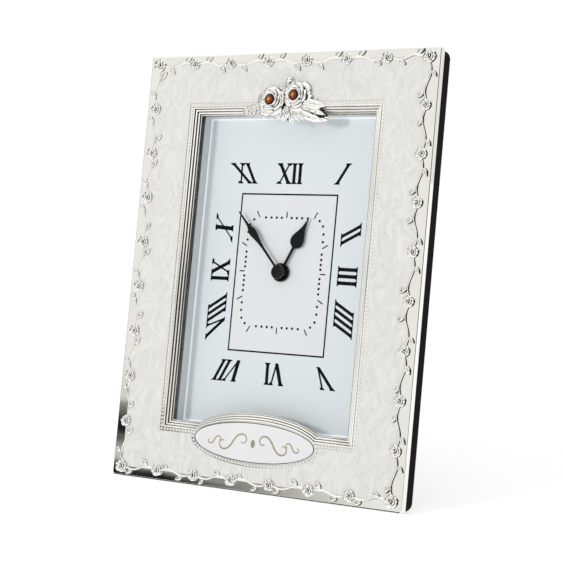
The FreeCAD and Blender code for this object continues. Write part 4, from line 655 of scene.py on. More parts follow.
# %% [markdown]
# ## Fillet
# The dial is seen at the bottom of a grey box. A narrow pale fillet closes the corner
# between the walls and the dial. It shines like the edge of a clear tray, though the lamp
# leaves it in shade, so its finish gives off a little light: painted light.

# %% Fillet round the dial
FILLET = 0.5


fillet_rings = []
for out, above in ((-0.01, 0.45), (-FILLET, 0.4), (-FILLET, 0.01), (-0.01, 0.01)):
    right, high = SIGHT_HALF_W + out, SIGHT_HALF_H + out
    fillet_rings.append(rectangle(right, MIDDLE - high, -right, MIDDLE + high, DIAL_Y - above))
fillet = closed_skin("dial_fillet", fillet_rings, fillet_white, soft=False)
finish(fillet, "frame")

# %% [markdown]
# ## Petals and leaves
# A rose is made of petals in rings. One petal is a small curved sheet, wide at the middle,
# cupped at its root and curled over at its rim, so the same function makes the small
# garland roses and the two large ones by changing a few numbers. A leaf is a sheet too,
# with a groove along its middle and raised veins.

# %% One petal
def sheet_faces(across, along):
    """Faces of a sheet whose points lie in rows."""
    return [(row * across + col, row * across + col + 1, (row + 1) * across + col + 1,
             (row + 1) * across + col)
            for row in range(along - 1) for col in range(across - 1)]


def petal(ring, turn, across, along):
    """Points of a petal that wraps round the origin, its rim towards the front."""
    root, rim, spread, low, high, lip, wrap = ring
    points = []
    for row in range(along):
        v = row / (along - 1)
        rolled = max(0, (v - 0.7) / 0.3) ** 2
        for col in range(across):
            u = 2 * col / (across - 1) - 1
            reach = root + (rim - root) * v ** 1.5 + lip * rolled + wrap * u * v
            # the corners of the rim are drawn in, so that the petal ends rounded
            reach *= 1 - 0.09 * u * u * v
            rise = (high - low) * (1 - (1 - v) ** 2) * (1 - 0.3 * u * u)
            angle = turn + spread * u * (1 - 0.25 * v * abs(u))
            points.append((reach * math.cos(angle), -(low + rise - 0.7 * lip * rolled),
                           reach * math.sin(angle)))
    return points

# %% Whole roses
def set_shade(obj, values):
    """Stores how much painted shade the silver has at each point."""
    shade = obj.data.attributes.new("shade", "FLOAT", "POINT")
    shade.data.foreach_set("value", values)


def thicken(sheet, thickness):
    """Gives a sheet its thickness, half to each side."""
    skin = sheet.modifiers.new("thickness", "SOLIDIFY")
    skin.thickness = thickness
    skin.offset = 0
    return settle(sheet)


def rose_object(name, rings, thickness, across, along, turn, material):
    """Rose from rings of petals, each ring a count and the numbers of its petal."""
    points, faces = [], []
    for level, (count, *ring) in enumerate(rings):
        for number in range(count):
            start = len(points)
            points += petal(ring, turn + 0.7 * level + 2 * math.pi * number / count,
                            across, along)
            faces += [tuple(start + i for i in face) for face in sheet_faces(across, along)]
    obj = upright(name, points, faces, material)
    # painted shade: dark at the root of each petal, gone before the rim
    rows = [max(0.0, min(1.0, (0.62 - row / (along - 1)) / 0.4)) for row in range(along)]
    petals = len(points) // (across * along)
    set_shade(obj, [value for _ in range(petals) for value in rows for _ in range(across)])
    return thicken(obj, thickness)

# %% Leaves
def leaf_points(length, width, veins, belly, across=7, along=11, teeth=0.0):
    """Points of a leaf with its root at the origin and its tip up."""
    points = []
    for row in range(along):
        v = row / (along - 1)
        half = width / 2 * math.sin(math.pi * min(1, 0.04 + 0.96 * v) ** 0.85) ** 0.8
        half = half * (1 + teeth * (1 if row % 2 else -1)) + 0.01
        for col in range(across):
            u = 2 * col / (across - 1) - 1
            height = belly * math.sin(math.pi * v) * (1 - 0.7 * u * u)
            height += 0.12 * width * veins * math.cos(2 * math.pi * (4 * v - 1.2 * abs(u)))
            height -= 0.10 * width * math.exp(-(u / 0.2) ** 2)
            points.append((u * half, -height, v * length))
    return points


def leaf_object(name, length, width, veins, belly, thickness, material, **more):
    """Leaf with its root at the origin, with painted shade along its groove."""
    points = leaf_points(length, width, veins, belly, **more)
    across = more.get("across", 7)
    obj = upright(name, points, sheet_faces(across, len(points) // across), material)
    # painted shade along the middle groove of the leaf
    row = [0.45 * math.exp(-((2 * col / (across - 1) - 1) / 0.2) ** 2) for col in range(across)]
    set_shade(obj, row * (len(points) // across))
    return thicken(obj, thickness)

# %% [markdown]
# ## Geometry Nodes for what repeats
# Three trees do the repeating work. The first sets one model on every point of a mesh,
# turned and sized by attributes that the points carry, with a seeded jitter so no two
# roses look cast from one mould. The second strings beads along a path at a chosen pitch.
# The third draws a stem along a path. Each ends in Realize Instances and Set Material.

# %% Helpers for the trees
def new_tree(name, *inputs):
    """Empty tree that takes geometry and a material, and gives geometry."""
    geometry = (("Geometry", "Geometry"),)
    return new_group("GeometryNodeTree", name, geometry + inputs + (("Material", "Material"),),
                     geometry)


def run_tree(obj, tree, **values):
    """Adds the tree to a piece, sets its inputs by identifier, and keeps the result."""
    modifier = obj.modifiers.new(tree.name, "NODES")
    modifier.node_group = tree
    for item in tree.interface.items_tree:
        if item.in_out == "INPUT" and item.name.replace(" ", "_") in values:
            modifier[item.identifier] = values[item.name.replace(" ", "_")]
    obj.update_tag()
    bpy.context.view_layer.update()
    return settle(obj)


def close_tree(tree, enter, leave, source):
    """Realize Instances, then Set Material."""
    real = add(tree, "GeometryNodeRealizeInstances", Geometry=source)
    paint = add(tree, "GeometryNodeSetMaterial", Geometry=real.outputs["Geometry"],
                Material=enter.outputs["Material"])
    give(tree, leave, Geometry=paint.outputs["Geometry"])


def carried(tree, label):
    """Number that each point carries under a name."""
    return add(tree, "GeometryNodeInputNamedAttribute", options={"data_type": "FLOAT"},
               Name=label).outputs["Attribute"]

# %% Tree that sets a model on points
def make_scatter():
    """Tree that sets a model on every point, turned and sized by what the point carries."""
    tree, enter, leave = new_tree("set_on_points", ("Model", "Object"), ("Turn Jitter", "Float"),
                                  ("Size Jitter", "Float"), ("Seed", "Int"))
    given = enter.outputs
    model = add(tree, "GeometryNodeObjectInfo", Object=given["Model"])
    sums = []
    for label, jitter in (("turn", "Turn Jitter"), ("size", "Size Jitter")):
        chance = add(tree, "FunctionNodeRandomValue", options={"data_type": "FLOAT"},
                     Seed=given["Seed"])
        feed(tree, chance.inputs[2], calculate(tree, "MULTIPLY", given[jitter], -1.0))
        feed(tree, chance.inputs[3], given[jitter])
        sums.append(calculate(tree, "ADD", carried(tree, label), chance.outputs[1]))
    turn = add(tree, "ShaderNodeCombineXYZ", Y=sums[0])
    put = add(tree, "GeometryNodeInstanceOnPoints", Points=given["Geometry"],
              Instance=model.outputs["Geometry"], Rotation=turn.outputs["Vector"],
              Scale=sums[1])
    close_tree(tree, enter, leave, put.outputs["Instances"])
    return tree

# %% Trees that follow a path
def spaced_path(tree, given, pitch):
    """Curve along the edges of the mesh, with a point at every pitch."""
    curve = add(tree, "GeometryNodeMeshToCurve", Mesh=given["Geometry"])
    return add(tree, "GeometryNodeResampleCurve", options={"mode": "LENGTH"},
               Curve=curve.outputs["Curve"], Length=given[pitch]).outputs["Curve"]


def make_beading():
    """Tree that strings a model along a path."""
    tree, enter, leave = new_tree("beads_on_path", ("Model", "Object"), ("Pitch", "Float"))
    model = add(tree, "GeometryNodeObjectInfo", Object=enter.outputs["Model"])
    put = add(tree, "GeometryNodeInstanceOnPoints", Instance=model.outputs["Geometry"],
              Points=spaced_path(tree, enter.outputs, "Pitch"))
    close_tree(tree, enter, leave, put.outputs["Instances"])
    return tree


def make_stemming():
    """Tree that draws a round stem along a path."""
    tree, enter, leave = new_tree("stem_on_path", ("Radius", "Float"), ("Spacing", "Float"))
    section = add(tree, "GeometryNodeCurvePrimitiveCircle", Resolution=8,
                  Radius=enter.outputs["Radius"])
    tube = add(tree, "GeometryNodeCurveToMesh", Curve=spaced_path(tree, enter.outputs, "Spacing"),
               Profile_Curve=section.outputs["Curve"], Fill_Caps=True)
    close_tree(tree, enter, leave, tube.outputs["Mesh"])
    return tree


SCATTER, BEADING, STEMMING = make_scatter(), make_beading(), make_stemming()
print("trees", [tree.name for tree in (SCATTER, BEADING, STEMMING)])

# %% Points and lines that feed the trees
def point_cloud(name, places):
    """Mesh of loose points, each with a turn in radians and a size."""
    obj = upright(name, [place[:3] for place in places], [])
    for label, column in (("turn", 3), ("size", 4)):
        values = obj.data.attributes.new(label, "FLOAT", "POINT")
        values.data.foreach_set("value", [place[column] for place in places])
    return obj


def scatter(name, model, spots, material, turn_jitter=0.0, size_jitter=0.0, seed=1):
    """Copies of a model on every spot, as one piece. The model is dropped."""
    piece = run_tree(point_cloud(name, spots), SCATTER, Model=model, Turn_Jitter=turn_jitter,
                     Size_Jitter=size_jitter, Seed=seed, Material=material)
    bpy.data.objects.remove(model)
    return piece


def path_object(name, runs):
    """Mesh of open lines, each a run of points."""
    points, edges = [], []
    for run in runs:
        start = len(points)
        points += run
        edges += [(start + i, start + i + 1) for i in range(len(run) - 1)]
    return upright(name, points, [], edges=edges)

# %% [markdown]
# ## Beads
# A row of tiny half balls runs round the outside of the moulding and under the name plate.
# It stops at both sides of the rose crest, so the path starts and ends there.

# %% Half balls
BEAD_OUT = 4.55
BEAD_Y, BEAD_RADIUS, BEAD_PITCH = BEAD_CHANNEL_Y, 0.66, 1.7
OVAL_BEAD_GROW = 1.25
CREST_HALF = 12.5


def half_ball(radius, sides, rows, height=None):
    """Closed half ball with its dome to the front, flattened if a height is given."""
    height = height or radius
    rings = []
    for row in range(rows):
        turn = math.pi / 2 * row / rows
        rings.append(circle(radius * math.cos(turn), -height * math.sin(turn), sides))
    return face_outwards(upright("half_ball", *drawn_to_tip(rings, (0, -height, 0))))

# %% Beads round the window
def bead_path():
    """Line of the beads, from one side of the crest round the window to the other."""
    right, low = SIGHT_HALF_W + BEAD_OUT, MIDDLE - SIGHT_HALF_H - BEAD_OUT
    high = MIDDLE + SIGHT_HALF_H + BEAD_OUT
    wide, tall = OVAL_HALF_W + OVAL_BEAD_GROW, OVAL_HALF_H + OVAL_BEAD_GROW
    start = math.asin((low - OVAL_Z) / tall)
    path = [(CREST_HALF, high), (right, high), (right, low)]
    for step in range(ARCH_STEPS + 1):
        turn = start - (math.pi + 2 * start) * step / ARCH_STEPS
        path.append((wide * math.cos(turn), OVAL_Z + tall * math.sin(turn)))
    path += [(-right, low), (-right, high), (-CREST_HALF, high)]
    return [(x, BEAD_Y, z) for x, z in path]


bead_model = half_ball(BEAD_RADIUS, 8, 3)
beads = run_tree(path_object("bead_row", [bead_path()]), BEADING, Model=bead_model,
                 Pitch=BEAD_PITCH, Material=bright_silver)
finish(smooth(beads), "frame", ["bead_trim"])
bpy.data.objects.remove(bead_model)

# %% [markdown]
# ## Garland
# Thirty-two small roses sit over the edge of the enamel, with a waving stem and two leaves
# between each pair. The places follow the same rule as in the CAD: eight roses across,
# ten up, and the corners shared. Painted shade fills the heart of each rose, and dark pieces
# lie beside the stems and leaves as painted shadows. The lamp is on the upper left, so more
# of it shows on the right, and the dark pieces under the relief lie further out there.

# %% Where the garland grows
SIDE_MARGIN, END_MARGIN = 5.1, 4.3
ROSE_RADIUS, CORNER_RADIUS = 2.8, 3.2
STEM_RADIUS, STEM_WAVE = 0.45, 1.1
# how far right and down the painted shadows under the relief lie, at the right edge
SHADE_OUT, SHADE_DOWN = 0.52, 0.15


def garland_places():
    """Middle (x, z) and radius of each rose, clockwise from the upper left corner."""
    side, low, high = FRAME_W / 2 - SIDE_MARGIN, END_MARGIN, FRAME_H - END_MARGIN
    runs = [((-side, high), (side, high), 8), ((side, high), (side, low), 10),
            ((side, low), (-side, low), 8), ((-side, low), (-side, high), 10)]
    places = []
    for start, end, count in runs:
        for number in range(count - 1):
            share = number / (count - 1)
            places.append((start[0] + (end[0] - start[0]) * share,
                           start[1] + (end[1] - start[1]) * share,
                           CORNER_RADIUS if number == 0 else ROSE_RADIUS))
    return places

# %% Stem between two roses
def wave_between(start, end, side):
    """Points of the stem from one rose to the next, waving once each way."""
    run = math.dist(start[:2], end[:2])
    along = ((end[0] - start[0]) / run, (end[1] - start[1]) / run)
    across = (-along[1] * side, along[0] * side)
    first = start[2] * 0.6
    free = run - first - end[2] * 0.6
    points = []
    for step in range(17):
        share = step / 16
        wave = math.sin(2 * math.pi * share) * STEM_WAVE
        distance = first + free * share
        points.append((start[0] + along[0] * distance + across[0] * wave, 0.0,
                       start[1] + along[1] * distance + across[1] * wave))
    return points

# %% Where the painted shadow shows
def shade_share(x):
    """How much painted shadow shows beside the relief: none on the left edge, all on the right
    edge.
    """
    return max(0.0, min(1.0, x / FRAME_W + 0.5)) ** 1.5


def in_shade(x, y, z):
    """Place of the painted shadow under a piece of the relief, further out on the right side."""
    return (x + SHADE_OUT * shade_share(x), y, z - SHADE_DOWN * shade_share(x))


places = garland_places()
pairs = [(places[i], places[(i + 1) % len(places)], 1 if i % 2 else -1)
         for i in range(len(places))]

# %% Garland roses
# count, root, rim, spread, low, high, lip, wrap
TINY_RINGS = ((5, 0.45, 0.84, 0.78, 0.02, 0.34, 0.10, 0.05),
              (4, 0.28, 0.54, 0.95, 0.12, 0.50, 0.07, 0.05),
              (2, 0.08, 0.24, 1.50, 0.25, 0.58, 0.03, 0.05))
SHADE_DISC_RADIUS, SHADE_DISC_HEIGHT, LEAST_SHADE_DISC = 0.88, 0.22, 0.6
TURN_STEP = 2.4
tiny = rose_object("tiny_rose", TINY_RINGS, 0.10, 6, 5, 0.2, bright_silver)
spots = [(x, 0.0, z, TURN_STEP * number, radius) for number, (x, z, radius) in enumerate(places)]
roses = scatter("rose_garland", tiny, spots, bright_silver, 0.5, 0.06, 7)
finish(roses, "frame", ["garland_roses"])
# painted shade: dark discs in the rose hearts, moved right and down, smaller to the left
spots = [(*in_shade(x, y, z), turn,
          size * (LEAST_SHADE_DISC + (1 - LEAST_SHADE_DISC) * shade_share(x)))
         for x, y, z, turn, size in spots]
rose_shade_discs = scatter("rose_hearts", half_ball(SHADE_DISC_RADIUS, 10, 2, SHADE_DISC_HEIGHT), spots, seam_and_shade)
finish(rose_shade_discs, "frame")

# %% Garland stems and leaves
STEM_SPACING, STEM_SHADOW_RADIUS = 0.8, 0.24
stems = path_object("vine_line", [wave_between(*pair) for pair in pairs])
stems = run_tree(stems, STEMMING, Radius=0.92 * STEM_RADIUS, Spacing=STEM_SPACING,
                 Material=bright_silver)
finish(smooth(stems), "frame", ["vine_stems"])
# painted shadows: dark lines beside the stems, further out on the right
shadow_runs = [[in_shade(*point) for point in wave_between(*pair)] for pair in pairs]
stem_shadows = run_tree(path_object("vine_seams", shadow_runs), STEMMING, Radius=STEM_SHADOW_RADIUS,
                      Spacing=STEM_SPACING, Material=seam_and_shade)
finish(stem_shadows, "frame")

LEAF_LENGTH, LEAF_WIDTH, LEAF_TURN = 3.7, 1.85, math.radians(34)
spots = []
for start, end, side in pairs:
    run_angle = math.atan2(end[0] - start[0], end[1] - start[1])
    points = wave_between(start, end, side)
    for spot, lean_side in ((points[4], side), (points[12], -side)):
        x = spot[0] - math.cos(run_angle) * STEM_RADIUS * lean_side
        z = spot[2] + math.sin(run_angle) * STEM_RADIUS * lean_side
        spots.append((x, -0.25, z, run_angle - LEAF_TURN * lean_side, 1.0))
small_leaf = leaf_object("small_leaf", LEAF_LENGTH, LEAF_WIDTH, 0.35, 0.35, 0.22, bright_silver,
                         across=5, along=8)
leaves = scatter("leaf_garland", small_leaf, spots, bright_silver, 0.25, 0.12, 3)
finish(leaves, "frame", ["vine_leaves"])
# painted shadows: dark leaves under the leaves, further out on the right
dark_leaf = leaf_object("dark_leaf", LEAF_LENGTH, LEAF_WIDTH, 0.0, 0.1, 0.1, seam_and_shade, across=5,
                        along=8)
spots = [(*in_shade(spot[0], -0.15, spot[2]), *spot[3:]) for spot in spots]
leaf_seams = scatter("leaf_seams", dark_leaf, spots, seam_and_shade, 0.25, 0.12, 3)
finish(leaf_seams, "frame")

# %% [markdown]
# ## Rose crest
# Two large roses hold the amber stones at the top of the window. Each has four rings of
# petals and a plain collar round its stone. The outer ring lies a little aside, since the
# roses aren't quite round. Leaves of several sizes fan out below them: a fern-like spray
# to the left, short leaves under the middle, and one large veined leaf to the right. Dark
# half balls and leaves lie under it all as painted shade, and show where the petals leave a
# hollow.

# %% Large roses
LEFT_ROSE, RIGHT_ROSE = (-6.05, 175.8), (6.35, 177.6)
# the dark half balls under the roses are painted shade
CRYSTAL_RADIUS, DARK_RADIUS, DARK_HEIGHT = 2.3, 5.9, 1.3


def moved(obj, x, y, z, turn=0.0, tip=0.0, roll=0.0):
    """Turns a piece about its own root, then puts it in place."""
    obj.data.transform(Matrix.Translation((x, y, z)) @ Matrix.Rotation(turn, 4, "Y")
                       @ Matrix.Rotation(tip, 4, "X") @ Matrix.Rotation(roll, 4, "Z"))
    return obj


# radius and y of the plain ring that holds a stone
COLLAR = ((2.5, -1.6), (2.5, -2.6), (2.62, -2.8), (2.8, -2.75), (2.92, -2.4), (2.95, -1.2))
# count, root, rim, spread, low, high, lip, wrap
OUTER_RING = ((5, 3.6, 6.5, 0.80, 0.2, 1.6, 0.6, 0.45),)
INNER_RINGS = ((5, 3.3, 5.5, 0.78, 0.5, 2.4, 0.4, 0.4),
               (4, 3.0, 4.4, 0.92, 0.9, 3.0, 0.25, 0.3),
               (3, 2.8, 3.5, 1.2, 1.2, 3.4, 0.2, 0.2))
# place, turn, and how far the outer ring lies to the right and below
BLOOMS = ((LEFT_ROSE, 0.2, -0.4, 0.6), (RIGHT_ROSE, 0.75, 1.3, 0.2))
crest_parts, crest_shadows = [], []
for (x, z), turn, aside, below in BLOOMS:
    outer = rose_object("bloom", OUTER_RING, 0.2, 13, 9, turn, bright_silver)
    inner = rose_object("bloom", INNER_RINGS, 0.2, 13, 9, turn + 0.4, bright_silver)
    collar = turned("collar", COLLAR, bright_silver, 32, 0.0)
    crest_parts += [moved(outer, x + aside, 0, z - below), moved(inner, x, 0, z),
                    moved(collar, x, -0.6, z)]
    dark = half_ball(DARK_RADIUS, 32, 4, DARK_HEIGHT)
    crest_shadows.append(moved(dark, x + 0.6, 0, z - 0.2))
    crest_shadows[-1].data.materials.append(seam_and_shade)
print("rings of petals and collars", len(crest_parts))

# %% Crest leaves, spray and bud
CREST_LEAVES = (
    # root x, root z, turn in degrees clockwise from up, length, width, height, tip
    (9.6, 171.6, 109, 15.1, 7.4, 0.9, -5), (10.5, 174.6, 99, 11.5, 3.8, 1.5, -6),
    (1.8, 172.8, 193, 7.2, 2.9, 1.1, -8), (3.0, 172.8, 165, 8.2, 3.0, 1.1, -8),
    (5.0, 172.6, 150, 7.4, 2.8, 0.9, -8), (2.4, 173.0, 179, 6.0, 2.2, 1.5, -8),
    (-1.0, 172.0, 205, 6.2, 2.6, 0.9, -6), (7.4, 171.6, 136, 6.4, 2.6, 0.9, -6),
    (1.0, 181.0, 12, 4.6, 2.0, 1.2, 8), (3.4, 181.4, 34, 3.6, 1.6, 1.2, 8),
    (-0.8, 180.2, -24, 3.8, 1.6, 1.2, 8), (0.4, 178.6, 0, 5.4, 1.8, 1.6, 8),
    (15.2, 173.4, 32, 3.4, 1.2, 0.8, 0),
)
for x, z, turn, length, width, height, tip in CREST_LEAVES:
    blade = leaf_object("blade", length, width, 0.3, 0.11 * width, 0.3, bright_silver,
                        across=9, along=15, teeth=0.06)
    crest_parts.append(moved(blade, x, -height, z, math.radians(turn), math.radians(tip)))

SPRAY = 6
for number in range(SPRAY):
    share = number / (SPRAY - 1)
    x, z = -8.0 - 10.4 * share, 172.4 - 1.3 * share
    for side in (-1, 1):
        frond = leaf_object("frond", 5.4 - 2.2 * share, 2.2 - 0.6 * share, 0.25, 0.3, 0.25,
                            bright_silver, across=5, along=8)
        turn = math.radians(258 + side * (52 - 24 * share))
        crest_parts.append(moved(frond, x, -0.8 - 0.3 * (number % 2), z, turn,
                                 math.radians(-4)))

# Dark leaves that lie under the relief, as painted shadows
UNDER_LEAVES = ((10.2, 172.2, 106, 13.6, 6.0), (2.6, 172.4, 176, 6.0, 4.0))
for x, z, turn, length, width in UNDER_LEAVES:
    under = leaf_object("under", length, width, 0.0, 0.3, 0.2, seam_and_shade)
    crest_shadows.append(moved(under, x, -0.35, z, math.radians(turn)))
finish(join("crest_hearts", crest_shadows), "frame")
crest_parts.append(moved(half_ball(1.5, 16, 6), 2.4, -0.9, 184.9))
crest_parts[-1].data.materials.append(bright_silver)
finish(smooth(join("crest_of_roses", crest_parts)), "frame", ["rose_crest"])

# %% [markdown]
# ## Stones
# Each stone is a brilliant: a table, a ring of star facets, a girdle and a pointed back.
# Real amber crystal throws light back from its facets. At this size that takes too many
# rays to find, so each facet carries how much it glows, and a ramp turns that into colour.

# %% Amber stones
def make_amber():
    """Coloured stone with painted light, dark at the girdle and golden in the middle."""
    material, tree, shader = new_material("amber_crystal")
    glow = add(tree, "ShaderNodeAttribute", options={"attribute_name": "glow"})
    colour = ramp_of(tree, glow.outputs["Fac"], (
        (0.0, srgb(30, 9, 3)), (0.52, srgb(184, 78, 8)), (1.0, srgb(255, 206, 92))))
    give(tree, shader, Base_Color=colour, Roughness=0.03, IOR=1.6, Specular_IOR_Level=0.2,
         Coat_Weight=0.12)
    return material


amber = make_amber()

# %% Cut stones
# share of the radius up to which a facet glows, from the table outwards, and how much
GLOWS = ((0.1, 1.0), (0.45, 0.62), (0.75, 0.3))
DULL = 0.3


def brilliant(radius, sides):
    """Cut stone with its table to the front."""
    levels = ((0.25, 0.2, 0.0), (0.0, 0.55, 0.03), (0.5, 0.84, 0.22), (0.0, 1.0, 0.45),
              (0.0, 1.0, 0.5), (0.5, 0.5, 0.85))
    rings = [circle(radius * size, radius * (depth - 0.5), sides, phase=phase)
             for phase, size, depth in levels]
    points, faces = drawn_to_tip(rings, (0, radius * 0.75, 0))
    stone = face_outwards(upright("stone", points, faces, amber, soft=False))
    glow = stone.data.attributes.new("glow", "FLOAT", "FACE")
    table = GLOWS[0][0]
    for facet, value in zip(stone.data.polygons, glow.data):
        share = math.hypot(facet.center.x, facet.center.z) / radius
        sector = math.atan2(facet.center.z, facet.center.x) / (2 * math.pi) * sides
        plain = next((light for limit, light in GLOWS if share < limit), 0.0)
        bright = share < table or round(2 * sector) % 4 < 2
        value.value = plain if bright else DULL * plain
    return stone


stones = [moved(brilliant(CRYSTAL_RADIUS, 8), x, -3.2, z) for x, z in (LEFT_ROSE, RIGHT_ROSE)]
finish(join("amber_stones", stones), "frame", ["crest_crystals"])

# %% [markdown]
# ## Name plate
# The white oval has a thin dark seam round it and a pair of mirrored scrolls.

# %% Seam round the name plate
def oval_ring(grow, y, count=96):
    """Outline of the name plate, moved outwards."""
    return [((OVAL_HALF_W + grow) * math.cos(2 * math.pi * i / count), y,
             OVAL_Z + (OVAL_HALF_H + grow) * math.sin(2 * math.pi * i / count))
            for i in range(count)]


seam_rings = [oval_ring(-0.12, 0.05), oval_ring(-0.10, -0.14), oval_ring(0.16, -0.14),
              oval_ring(0.24, 0.05)]
finish(closed_skin("plate_seam", seam_rings, seam_and_shade), "frame")

# %% Scrolls
def ribbon(line, width, y, swell=0.0):
    """Flat strip along a line of (x, z), a little wider at its middle."""
    left, right = [], []
    for number, (x, z) in enumerate(line):
        before, after = line[max(0, number - 1)], line[min(len(line) - 1, number + 1)]
        run = math.dist(before, after) or 1
        nx, nz = -(after[1] - before[1]) / run, (after[0] - before[0]) / run
        half = width / 2 * (1 + swell * math.sin(math.pi * number / (len(line) - 1)))
        left.append((x + nx * half, y, z + nz * half))
        right.append((x - nx * half, y, z - nz * half))
    return loft([left, right], closed_rings=False)


def s_scroll(side, centre, size, turns, tilt, steps=120):
    """Curve whose bend grows evenly from its middle, so both ends roll up."""
    line, x, z = [], 0.0, 0.0
    for step in range(steps + 1):
        share = 2 * step / steps - 1
        heading = tilt + math.pi * turns * share * share
        line.append((x, z))
        x += math.cos(heading) * size / steps
        z += math.sin(heading) * size / steps
    middle = line[steps // 2]
    return [(centre[0] + side * (x - middle[0]), centre[1] + z - middle[1]) for x, z in line]


# distance aside, distance below, size, turns, tilt in degrees, width
CURLS = ((10.5, 0.2, 27.0, 1.55, -58, 0.42), (20.5, 0.4, 12.0, 1.4, 120, 0.32))
scroll_parts = []
for side in (-1, 1):
    for aside, below, size, turns, tilt, width in CURLS:
        line = s_scroll(side, (side * aside, OVAL_Z - below), size, turns, math.radians(tilt))
        scroll_parts.append(upright("curl", *ribbon(line, width, -0.12, 0.9), flourish_gold))
drop = [(1.1 * math.sin(math.pi * i / 8), -0.12, OVAL_Z - 0.4 - 1.9 * math.cos(math.pi * i / 8))
        for i in range(16)]
scroll_parts.append(upright("drop", drop, [tuple(range(16))], flourish_gold))
finish(join("plate_scroll", scroll_parts), "frame")

# %% [markdown]
# ## Printing on the dial
# The Roman hours stand with their feet to the centre and lean along the line from the
# centre, which is how they fill a tall dial. Each letter is a few straight strokes: thick
# down strokes, thin up strokes and flat serifs. A stroke is written in letter units and
# moved to its place by one function, which also gives the slant.

# %% Letters as strokes
THICK, THIN, SERIF, SERIF_THICK = 1.62, 0.8, 2.9, 0.55
I_PITCH, X_HALF, V_HALF = 3.05, 2.55, 2.6
PRINT_Y = DIAL_Y - 0.04


def bar(u0, v0, u1, v1, width):
    """Stroke between two heights, cut level at both ends."""
    return [(u0 - width / 2, v0), (u0 + width / 2, v0), (u1 + width / 2, v1),
            (u1 - width / 2, v1)]


def serif(u, v, inward, width=SERIF):
    """Foot or head of a stroke, with a short slope into it."""
    half = width / 2
    edge = v + inward * SERIF_THICK
    slope = v + inward * SERIF_THICK * 2.2
    return [[(u - half, v), (u + half, v), (u + half, edge), (u - half, edge)],
            [(u - half * 0.75, edge), (u + half * 0.75, edge), (u + THICK * 0.45, slope),
             (u - THICK * 0.45, slope)]]

# %% One letter
def letter(kind, u, height):
    """Strokes of one letter centred on u."""
    low, high = -height / 2, height / 2
    if kind == "I":
        return [bar(u, low, u, high, THICK), *serif(u, low, 1), *serif(u, high, -1)]
    if kind == "X":
        strokes = [bar(u + X_HALF, low, u - X_HALF, high, THICK * 1.15),
                   bar(u - X_HALF, low, u + X_HALF, high, THIN * 1.1)]
        for foot in (u - X_HALF, u + X_HALF):
            strokes += [*serif(foot, low, 1), *serif(foot, high, -1)]
        return strokes
    return [bar(u + 0.2, low, u - V_HALF, high, THICK * 1.15),
            bar(u + 0.2, low, u + V_HALF, high, THIN * 1.1),
            *serif(u - V_HALF, high, -1), *serif(u + V_HALF, high, -1, SERIF * 0.8)]

# %% Letters set into an hour
ADVANCE = {("I", "I"): I_PITCH, ("X", "I"): 5.2, ("I", "X"): 5.2, ("V", "I"): 4.9,
           ("I", "V"): 4.9}


def hour_strokes(word, height):
    """Strokes of a whole number, centred."""
    at, spots = 0.0, []
    for number, kind in enumerate(word):
        if number:
            at += ADVANCE[(word[number - 1], kind)]
        spots.append(at)
    ends = {"I": SERIF / 2, "X": X_HALF + SERIF / 2, "V": V_HALF + SERIF / 2}
    left, right = spots[0] - ends[word[0]], spots[-1] + ends[word[-1]]
    middle = (left + right) / 2
    strokes = []
    for kind, spot in zip(word, spots):
        strokes += letter(kind, spot - middle, height)
    return strokes

# %% The twelve hours
# word, outward direction, distance out, distance along, height
HOURS = (("XII", (0, 1), 45.3, -0.5, 9.6), ("I", (0, 1), 45.3, 27.2, 9.6),
         ("II", (1, 0), 34.0, -18.2, 10.0), ("III", (1, 0), 34.0, 0.4, 10.0),
         ("IIII", (1, 0), 34.0, 19.4, 10.0), ("V", (0, -1), 46.1, -26.3, 10.0),
         ("VI", (0, -1), 46.1, -0.9, 10.0), ("VII", (0, -1), 46.1, 23.7, 10.0),
         ("VIII", (-1, 0), 33.4, -21.6, 10.0), ("IX", (-1, 0), 33.4, 0.0, 10.0),
         ("X", (-1, 0), 33.4, 19.7, 10.0), ("XI", (0, 1), 45.3, -25.3, 9.6))
points, faces = [], []
for word, outward, distance, offset, height in HOURS:
    along = (outward[1], -outward[0])
    for stroke in hour_strokes(word, height):
        start = len(points)
        for u, v in stroke:
            far = distance + v
            side = u + offset * far / distance
            points.append((outward[0] * far + along[0] * side, PRINT_Y,
                           MIDDLE + outward[1] * far + along[1] * side))
        faces.append(tuple(range(start, start + len(stroke))))
finish(upright("dial_hours", points, faces, print_black, soft=False), "frame")

# %% Box round the minutes, and its panel
BOX_LEFT, BOX_RIGHT, BOX_LOW, BOX_HIGH, LINE = -25.0, 25.5, -36.6, 35.7, 0.72


def box_ring(grow, y):
    """Outline of the printed box, moved outwards."""
    return rectangle(BOX_RIGHT + grow, MIDDLE + BOX_LOW - grow, BOX_LEFT - grow,
                     MIDDLE + BOX_HIGH + grow, y)


outline = upright("dial_box", *loft([box_ring(LINE / 2, PRINT_Y), box_ring(-LINE / 2, PRINT_Y)]),
                  print_black, soft=False)
finish(outline, "frame")

HOLE_RADIUS, PANEL_Y, AROUND = 4.1, DIAL_Y - 0.02, 48
hole, edge = [], []
for i in range(AROUND):
    x, z = math.cos(2 * math.pi * i / AROUND), math.sin(2 * math.pi * i / AROUND)
    reach = min((BOX_RIGHT if x > 0 else -BOX_LEFT) / max(abs(x), 1e-6),
                (BOX_HIGH if z > 0 else -BOX_LOW) / max(abs(z), 1e-6))
    hole.append((HOLE_RADIUS * x, PANEL_Y, MIDDLE + HOLE_RADIUS * z))
    edge.append((reach * x, PANEL_Y, MIDDLE + reach * z))
for corner in box_ring(0, PANEL_Y):
    edge[min(range(AROUND), key=lambda i: math.dist(edge[i], corner))] = corner
panel = upright("dial_middle", *loft([edge, hole]), dial_panel, soft=False)
finish(panel, "frame")

